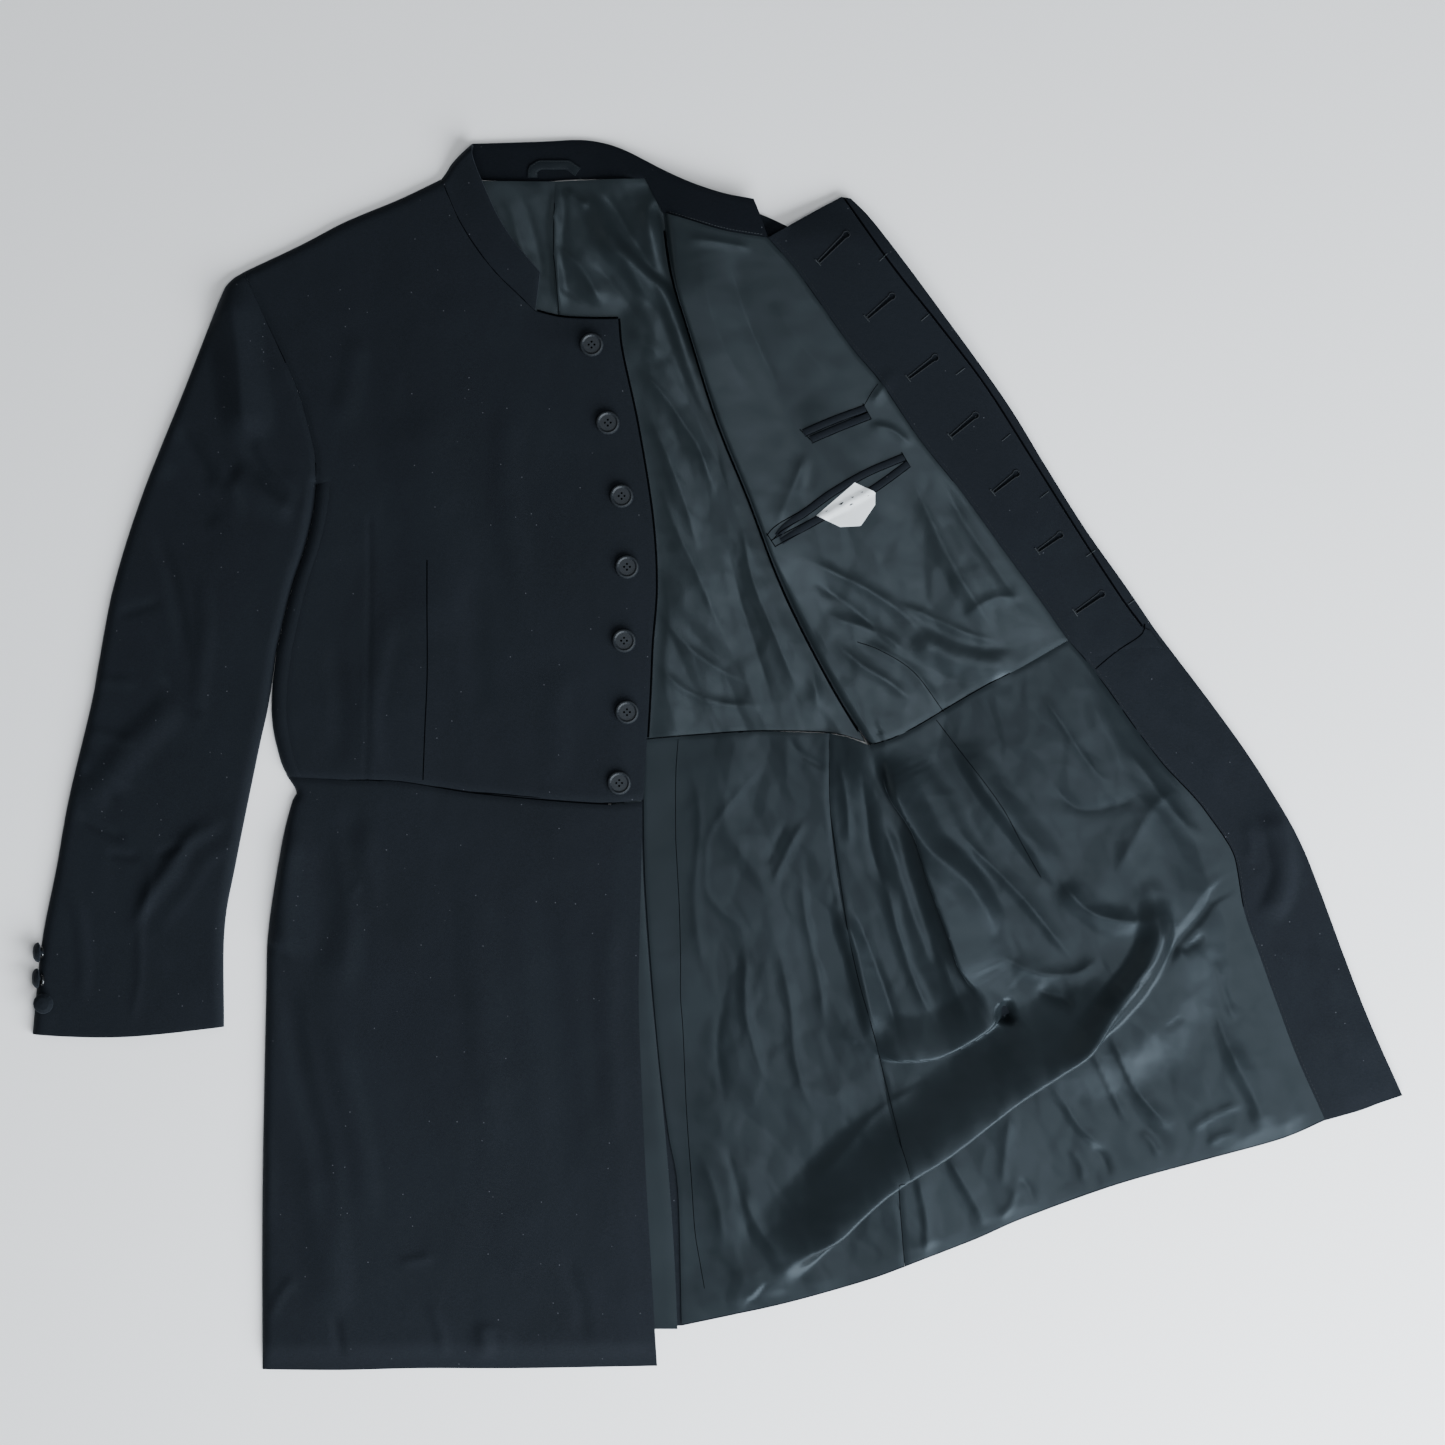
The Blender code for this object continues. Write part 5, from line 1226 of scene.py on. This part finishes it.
def thread_material(name, colour, rough=0.55, shine=0.3):
    m = Nodes(name, sheen_weight=shine / 4, sheen_roughness=0.4, specular_ior_level=shine)
    twist = m.wave(35, 900.0, 0.5)
    return m.out(m.mix(twist, shade(colour, 0.7), shade(colour, 1.3)),
                 m.ramp(m.noise(800.0), 0.3, 0.7, rough - 0.08, rough + 0.08), m.bump(twist, 0.4, 0.0002))


def label_material():
    m = Nodes("label_tape", sheen_weight=0.10, sheen_roughness=0.4)
    weft = m.wave(-30, 520.0, 0.3)
    warp = m.wave(60, 520.0, 0.3)
    colour = m.mix(m.ramp(m.noise(40.0), 0.3, 0.7), (0.72, 0.72, 0.70), (0.80, 0.80, 0.79))
    normal = m.bump(warp, 0.3, 0.0002, m.bump(weft, 0.3, 0.0002))
    return m.out(colour, m.ramp(warp, 0, 1, 0.45, 0.6), normal)


def gloss_material():
    m = Nodes("shank_lacquer", specular_ior_level=0.7)
    worn = m.noise(500.0)
    colour = m.mix(worn, (0.004, 0.004, 0.004), (0.012, 0.012, 0.012))
    return m.out(colour, m.ramp(worn, 0.3, 0.7, 0.08, 0.18))


def dress_back(wool, satin):
    """The back's wool panels and its lining, which stay inside the front at the right shoulder."""
    right = ("right shoulder + back neck right", "back waist right",
             "right armhole + underarm + right side", "centre back")
    grid, corners, _ = patch(*right, step=HIDDEN_STEP)
    cloth("back_right_cloth", "back_right", lowered(inset(grid, left=4, bottom=1), corners[0], drop=6),
          underside_layer(BACK_LEVEL, 42), wool)
    piece("back_left_cloth", "back_left",
          ("back neck left + left shoulder", "back waist left", "centre back", "left armhole + left side"),
          underside_layer(BACK_LEVEL, 43), wool, HIDDEN_STEP)
    piece("back_skirt_right_cloth", "back_skirt_right",
          ("back waist right", "right back hem", "right back skirt side", "right shell vent"),
          underside_layer(BACK_LEVEL, 44), wool, HIDDEN_STEP, squeeze=(5, 0, 0, 0))
    grid, corners, _ = patch(*right, step=SATIN_STEP * 1.25)
    cloth("back_lining_right_satin", "back_lining_right",
          lowered(inset(grid, left=8, bottom=1), corners[0], drop=11), back_lining_layer, satin,
          rests_on=["back_right"], **LINING)
    piece("back_lining_left_satin", "back_lining_left",
          ("back neck left + lining shoulder", "back waist left", "centre back", "left armhole + left side"),
          back_lining_layer, satin, SATIN_STEP * 1.1, squeeze=(0, 1, 0, 1), rests_on=["back_left"], **LINING)


def dress_right(wool):
    """The closed right front with its side body, its skirt, and the right sleeve."""
    body, _, steps = patch("right shoulder + right neckline + right front top", "right waist",
                           "right armhole + underarm + right side", "right front edge", roll="lt")
    seam = int(np.argmin(np.abs(lengths(body[-1]) - SIDE_BODY_WIDTH)))
    side = np.zeros((body.shape[0] - 1, body.shape[1] - 1), bool)
    side[steps[0]:, :seam] = True
    cloth("side_body_cloth", "right_side_body", body, right_layer, wool, cells=side, rests_on=["back_right"])
    cloth("right_front_cloth", "right_front", body, right_layer, wool, cells=~side,
          rests_on=["back_lining_right"])
    piece("right_skirt_cloth", "right_front_skirt",
          ("right waist", "right hem", "right skirt side", "right skirt front"), right_layer, wool, roll="l",
          rests_on=["back_skirt_right"])
    sleeve = ("right armhole", "right cuff", "right sleeve back", "underarm + right sleeve front")
    piece("right_sleeve_cloth", "right_sleeve_upper", sleeve, right_layer, wool, roll="lr",
          rests_on=["right_sleeve_under"])
    piece("right_sleeve_under_cloth", "right_sleeve_under", sleeve, underside_layer(SLEEVE_UNDER_LEVEL, 41),
          wool, HIDDEN_STEP, squeeze=(4, 4, 6, 0), thickness=SLEEVE_UNDER_SHELL)


def dress_left_front(wool, satin):
    """The left front: its lining, its wool shell, the facing and the strip of buttonholes."""
    piece("left_front_satin", "left_front_lining",
          ("collar left seam", "left waist", "left fold", "facing seam"), left_front_layer, satin, SATIN_STEP,
          "l", leans=True, rests_on=["left_front"], floor=LINING_LEVEL + LAYER_GAP, **LINING)
    piece("left_front_cloth", "left_front",
          ("collar left seam + fly top + front edge top", "left waist + fly waist + edge waist", "left fold",
           "left front edge"),
          under_left_front, wool, UNDER_STEP, squeeze=(10, 0, 0, 0), rests_on=["left_sleeve_upper"], **SHELL)
    upper, corners, _ = patch("fly top + front edge top", "fly waist + edge waist", "facing seam",
                              "left front edge", wide=FACING_WIDTH)
    lower, _, _ = patch("fly waist + edge waist", "facing hem + edge hem", "skirt facing seam",
                        "left skirt edge", wide=FACING_WIDTH)
    facing = np.concatenate([bent(upper, corners[0], "fly edge"), lower[1:]])
    cloth("left_facing_cloth", "left_facing", facing, facing_layer, wool, leans=True,
          thickness=SATIN_SHELL + 0.2, rests_on=["left_front"])
    tail = len(upper) + max(1, round(FLY_TAIL_SHARE * len(lower)))
    fly = cloth("left_fly_cloth", "left_fly", facing[:tail, :corners[0] + 1], facing_layer, wool, leans=True,
                high=LAYER_GAP + SATIN, thickness=SATIN, rests_on=["left_facing_cloth"])
    cut_slits(fly)


def dress_left_skirt(wool, satin):
    """The left skirt in a front and a back part, each with a lining on a wool shell."""
    linings = {
        "left": ("skirt waist + left waist", "left front hem", "side back seam", "skirt facing seam"),
        "back": ("back skirt waist", "left back hem", "vent border", "side back seam"),
    }
    for part, under in (("left", "left_front_skirt"), ("back", "back_skirt_left")):
        piece(part + "_skirt_satin", part + "_skirt_lining", linings[part], left_skirt_layer, satin,
              SATIN_STEP, squeeze=(0, 0, 0, 1.5), leans=True, rests_on=[under], **LINING)
    piece("left_skirt_cloth", "left_front_skirt",
          ("skirt waist + left waist + fly waist + edge waist", "left front hem + facing hem + edge hem",
           "side back seam", "left skirt edge"),
          under_left_skirt, wool, UNDER_STEP, rests_on=["left_sleeve_upper"], **SHELL)
    piece("back_skirt_left_cloth", "back_skirt_left",
          ("left shell waist + back skirt waist", "left shell hem + left back hem", "left shell vent",
           "side back seam"), under_left_skirt, wool, UNDER_STEP, **SHELL)


def dress_left_sleeve(wool):
    """The left sleeve, which lies flat under the left front."""
    sleeve = ("-left armhole", "-left cuff", "left sleeve front", "left sleeve back")
    piece("left_sleeve_cloth", "left_sleeve_upper", sleeve, left_sleeve_layer, wool, HIDDEN_STEP, "lr",
          squeeze=(0, 0, 1.5, 0), rests_on=["left_sleeve_under"])
    piece("left_sleeve_under_cloth", "left_sleeve_under", sleeve, underside_layer(SLEEVE_UNDER_LEVEL, 45),
          wool, HIDDEN_STEP, squeeze=(3, 3, 6, 0), thickness=SLEEVE_UNDER_SHELL)


def dress_vent(satin):
    piece("vent_satin", "vent_underlay", ("vent top", "vent hem", "vent hidden", "vent edge"), vent_layer,
          satin, UNDER_STEP, thickness=SATIN, rests_on=["back_skirt_right"], slot="lining")


def dress_collar(wool, painted_shade_inner_wool):
    piece("collar_right_cloth", "collar_right",
          ("collar turn", "collar right end", "right neckline", "collar right free"), right_collar_layer,
          wool, COLLAR_STEP, thickness=COLLAR_SHELL, rests_on=["right_front"])
    # The collar's inner side takes the darker copy of the wool, which paints its shade
    piece("collar_back_cloth", "collar_back",
          ("collar top", "collar back seam + collar left corner + collar left seam", "collar start",
           "collar left end"), back_collar_layer, painted_shade_inner_wool, COLLAR_STEP, thickness=COLLAR_SHELL,
          rests_on=["back_lining_left"])


def rounded_path(path, radius, steps=4):
    """A path with its corners rounded, as a folded tape lies."""
    line = np.array(path, float)
    out = [line[0]]
    for a, b, c in zip(line, line[1:], line[2:]):
        before, after = b + unit(a - b) * radius, b + unit(c - b) * radius
        for t in np.linspace(0, 1, steps + 1):
            out.append((1 - t) ** 2 * before + 2 * t * (1 - t) * b + t * t * after)
    return np.array(out + [line[-1]])


def dress_trims(wool, satin, thread, satin_thread, label):
    """The hanger loop, the pockets' lips, the size label and the buttonholes' thread."""
    loop = tape(dense(HANGER_LOOP, TRIM_STEP), LOOP_WIDTH, 5)
    laid("hanger_loop_tape", "hanger_loop", loop, ["collar_back_cloth"], satin, lift=0.3,
         thickness=0.9)
    for name, path in POCKET_LIPS.items():
        lip = tape(dense(smooth_line(path), TRIM_STEP), JET_WIDTH, 7)
        laid(name + "_cloth", name, lip, ["left_front_satin"], wool, lift=0.25, thickness=1.0,
             crown=0.35)
    grid, _, _ = patch("label start", "label end", "label left", "label right", step=TRIM_STEP)
    under = ["left_front_satin", "lower_pocket_lip_top_cloth", "lower_pocket_lip_bottom_cloth"]
    laid("size_label_tape", "size_label", grid, under, label, lift=0.15, thickness=0.4)
    purls, tacks = [], []
    for eye, bar in BUTTONHOLES:
        outline = keyhole(eye, bar, PURL_GROW)
        purls.append(tube(on_cloth(dense(outline + outline[:1], 1.0), FLY, lift=0.1), PURL))
        way, square = way_and_square(bar, eye)
        ends = [bar - way * BAR_OFFSET + square * side for side in np.linspace(-BAR_HALF, BAR_HALF, 5)]
        tacks.append(tube(on_cloth(ends, FLY, lift=0.3), BAR))
    joined("buttonhole_stitches", purls, thread)
    for place, (eye, bar) in zip(EDGE_TACKS, BUTTONHOLES):
        way, _ = way_and_square(bar, eye)
        ends = [np.array(place) + way * t for t in np.linspace(-TACK_HALF, TACK_HALF, 8)]
        tacks.append(tube(on_cloth(ends, FACING, lift=0.2), TACK))
    joined("bars_and_tacks", tacks, satin_thread)


def rim_path(names, offset, low=0.0, high=1.0, step=2.0):
    """A path beside an edge: this far to its left, over this share of its length."""
    line, ends = chain(names)
    line = at_lengths(line, np.linspace(low, high, max(2, round(ends[-1] * (high - low) / step))) * ends[-1])
    return line + square_to(line) * offset


def along_edges(*names):
    return [chain(name)[0][::6] for name in names]


def pocket_outlines():
    """Paths around each lip, and across the ends of each pocket's slit."""
    outline = []
    for path in POCKET_LIPS.values():
        borders = tape(dense(smooth_line(path), TRIM_STEP), JET_WIDTH + 0.5, 3)
        outline += [borders[:, 0], borders[:, -1]]
    for pocket in ("upper", "lower"):
        for k in (0, -1):
            top, bottom = (np.array(POCKET_LIPS[f"{pocket}_pocket_lip_{lip}"][k], float)
                           for lip in ("top", "bottom"))
            out, _ = way_and_square(bottom, top)
            ends = [top + out * SLIT_END_UP, (top + bottom) / 2, bottom - out * SLIT_END_DOWN]
            outline.append(np.array(ends))
    return outline


def sew(thread, satin_thread, seam):
    """Stitches, and dark lines of painted shade along seams, under rolled edges and around the pockets."""
    stitches("fly_stitches", [rim_path("facing seam", 3.0, 0.01, 0.985)], FLY, thread)
    stitches("collar_stitches", [rim_path("collar left seam", 2.0, 0.05, 0.97)],
             ["collar_back_cloth"], satin_thread, pitch=2.6)
    stitches("facing_stitches", [rim_path("facing seam", 2.2, 0.98, 1.0),
                                 rim_path("skirt facing seam", 2.2, 0.05, 0.99)],
             FACING, thread, pitch=3.6)
    loop = rounded_path(HANGER_LOOP, 1.0)
    stitches("loop_stitches", [loop + square_to(loop) * side for side in (-LOOP_STITCH, LOOP_STITCH)],
             ["hanger_loop_tape"], satin_thread, pitch=2.4, radius=0.22, lift=0.05)
    lips = ["left_front_satin"] + [name + "_cloth" for name in POCKET_LIPS]
    # Dark outlines of painted shade around the pockets' lips and across their slits' ends
    painted_shade_lines("pocket_outlines", pocket_outlines(), lips, seam, radius=0.42, lift=0.1, step=2.0)
    left_satin = ["back_lining_left_satin", "back_skirt_satin", "left_front_satin", "left_skirt_satin"]
    # Near-black lines of painted shade in the grooves of the lining's seams, its side back seam and its joins
    # to the facing
    painted_shade_lines("lining_seam_shade_lines", [EDGES[name] for name in LINING_SEAMS], left_satin, seam)
    painted_shade_lines("side_back_seam_shade_line", along_edges("side back seam"), ["left_skirt_satin", "back_skirt_satin"],
               seam)
    joins = along_edges("left waist", "back waist left", "back skirt waist", "facing seam",
                        "skirt facing seam")
    painted_shade_lines("left_seam_shade_lines", joins, left_satin + ["left_facing_cloth"], seam, radius=0.5,
               lift=0.05)
    # Painted shadow at the foot of the strip's raised edge, and painted shade along the strip's lower end
    painted_shade_lines("fly_edge_shadow_line", [rim_path("fly edge", 1.0, 0.004, 1.0, 6.0)], ["left_facing_cloth"], seam,
               radius=0.8, lift=0.2)
    painted_shade_lines("fly_end_shade_line", [FLY_END], FACING, seam, radius=0.6)
    # Painted shadow on the back lining beside the right front's edge and the left front's fold edge
    edges = [rim_path("right front top", 0.9, 0.02, 1.0, 4.0),
             rim_path("right front edge", 0.9, 0.0, 1.0, 4.0),
             rim_path("left fold", -1.2, 0.03, 0.97, 4.0)]
    painted_shade_lines("rolled_edge_shadow_lines", edges, ["back_lining_left_satin", "back_lining_right_satin"], seam,
               radius=1.0, lift=0.5)
    # Near-black lines of painted shade in the grooves of the right side's seams and dart
    joins = along_edges("right waist", "right armhole", "right neckline") + [EDGES["front dart"]]
    painted_shade_lines("right_seam_shade_lines", joins, ["right_front_cloth", "right_skirt_cloth", "right_sleeve_cloth",
                                           "collar_right_cloth"], seam, radius=0.6, lift=-0.1)


def recolour(node, material):
    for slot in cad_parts[node].material_slots:
        slot.material = material


def dress_buttons(horn, wool, thread, gloss):
    """Horn front buttons with thread in their holes, made near-black as painted shade, and covered cuff
    buttons on lacquered shanks.
    """
    threads = []
    for k, (x, y) in enumerate(FRONT_BUTTONS, 1):
        recolour(f"front_button_{k}", horn)
        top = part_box(f"front_button_{k}")[1][2] / MM - BUTTON_WELL
        for dx, dy in ((-1, 0), (0, -1), (0, 1), (1, 0)):
            ends = [(x + dx * (BUTTON_HOLE_SPREAD - lean), y + dy * (BUTTON_HOLE_SPREAD - lean), top - down)
                    for lean, down in HOLE_THREAD]
            threads.append(tube(ends, HOLE_THREAD_RADIUS, 8))
    # The holes' thread takes the near-black material that paints the holes' shade
    joined("button_threads", threads, thread)
    for k in (1, 2, 3):
        recolour(f"right_cuff_button_{k}", wool)
    loops = []
    for x, y in SHANK_LOOPS:
        low = height_on(["right_sleeve_cloth"], x, y) + SHANK_LIFT
        loops.append(tube([(x + SHANK_LEAN * math.sin(a), y - SHANK_HALF * math.cos(a),
                            low + SHANK_RISE * math.sin(a)) for a in np.linspace(0, math.pi, 9)],
                          SHANK_RADIUS, 10))
    joined("cuff_shank_loops", loops, gloss)


def place_floor():
    """A plain pale floor, just under the coat."""
    mesh = bpy.data.meshes.new("floor")
    corners = [(x * FLOOR_HALF, y * FLOOR_HALF, FLOOR_LEVEL) for x, y in ((-1, -1), (1, -1), (1, 1), (-1, 1))]
    mesh.from_pydata(corners, [], [(0, 1, 2, 3)])
    floor = new_object("floor", mesh)
    m = Nodes("floor_paper", roughness=0.9)
    floor.data.materials.append(m.out(m.mix(m.noise(3.0), (0.90, 0.86, 0.83), (0.93, 0.89, 0.86))))


def place_lights():
    world = bpy.data.worlds.new("studio")
    world.use_nodes = True
    sky = world.node_tree.nodes["Background"].inputs
    sky[0].default_value = SKY_COLOUR
    sky[1].default_value = SKY_STRENGTH
    bpy.context.scene.world = world
    for name, place, size, power, colour in LIGHTS:
        lamp = bpy.data.lights.new(name, "AREA")
        lamp.shape = "RECTANGLE"
        lamp.size, lamp.size_y = size
        lamp.energy = power
        lamp.color = colour
        thing = new_object(name, lamp)
        thing.location = place
        thing.rotation_euler = (-Vector(place)).to_track_quat("-Z", "Y").to_euler()


def place_camera():
    """Straight down on the coat, with the photograph's frame."""
    camera = new_object("camera", bpy.data.cameras.new("camera"))
    camera.data.lens = CAMERA_LENS
    camera.data.sensor_width = CAMERA_SENSOR
    height = PHOTO_SIZE / PIXELS_PER_MM * MM / 2 / (CAMERA_SENSOR / 2 / CAMERA_LENS)
    x, y = PHOTO_MIDDLE
    camera.location = (x * MM + SHIFT[0] * MM, y * MM + SHIFT[1] * MM, height + CAMERA_FOCUS * MM)
    camera.data.clip_start, camera.data.clip_end = 0.1, 50.0
    bpy.context.scene.camera = camera


SURFACES = {}
low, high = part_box("front_button_1")
SHIFT = np.array([(low[0] + high[0]) / 2 / MM - FRONT_BUTTONS[0][0],
                  (low[1] + high[1]) / 2 / MM - FRONT_BUTTONS[0][1], 0.0])

place_camera()
place_floor()
place_lights()
wool = wool_material("black_wool", (0.0036, 0.0048, 0.0066))
# A darker copy of the black wool with less nap: painted shade on the collar's inner side
collar_wool = wool_material("collar_wool", (0.0012, 0.0020, 0.0034), nap=0.03)
satin = satin_material("lining_satin", (0.0085, 0.0114, 0.0126), angle=25, gloss=0.29)
skirt_satin = satin_material("skirt_satin", (0.0080, 0.0106, 0.0120), angle=10, gloss=0.175)
trim_satin = satin_material("loop_satin", (0.0045, 0.0058, 0.0070), angle=80, gloss=0.15)
thread = thread_material("black_thread", (0.0045, 0.0056, 0.0072), rough=0.65, shine=0.2)
satin_thread = thread_material("grey_thread", (0.012, 0.015, 0.017))
# Near-black matte material that paints shade: the dark lines in seams' grooves, beside rolled edges and
# around the pockets, and the thread in the buttons' holes
seam = thread_material("thread_and_painted_shade", (0.0008, 0.0010, 0.0013), rough=0.9, shine=0.02)
dress_back(wool, satin)
dress_right(wool)
dress_left_front(wool, satin)
dress_left_skirt(wool, skirt_satin)
dress_left_sleeve(wool)
dress_vent(skirt_satin)
dress_collar(wool, collar_wool)
dress_trims(wool, trim_satin, thread, satin_thread, label_material())
sew(thread, satin_thread, seam)
dress_buttons(horn_material(), wool, seam, gloss_material())
bpy.context.view_layer.update()
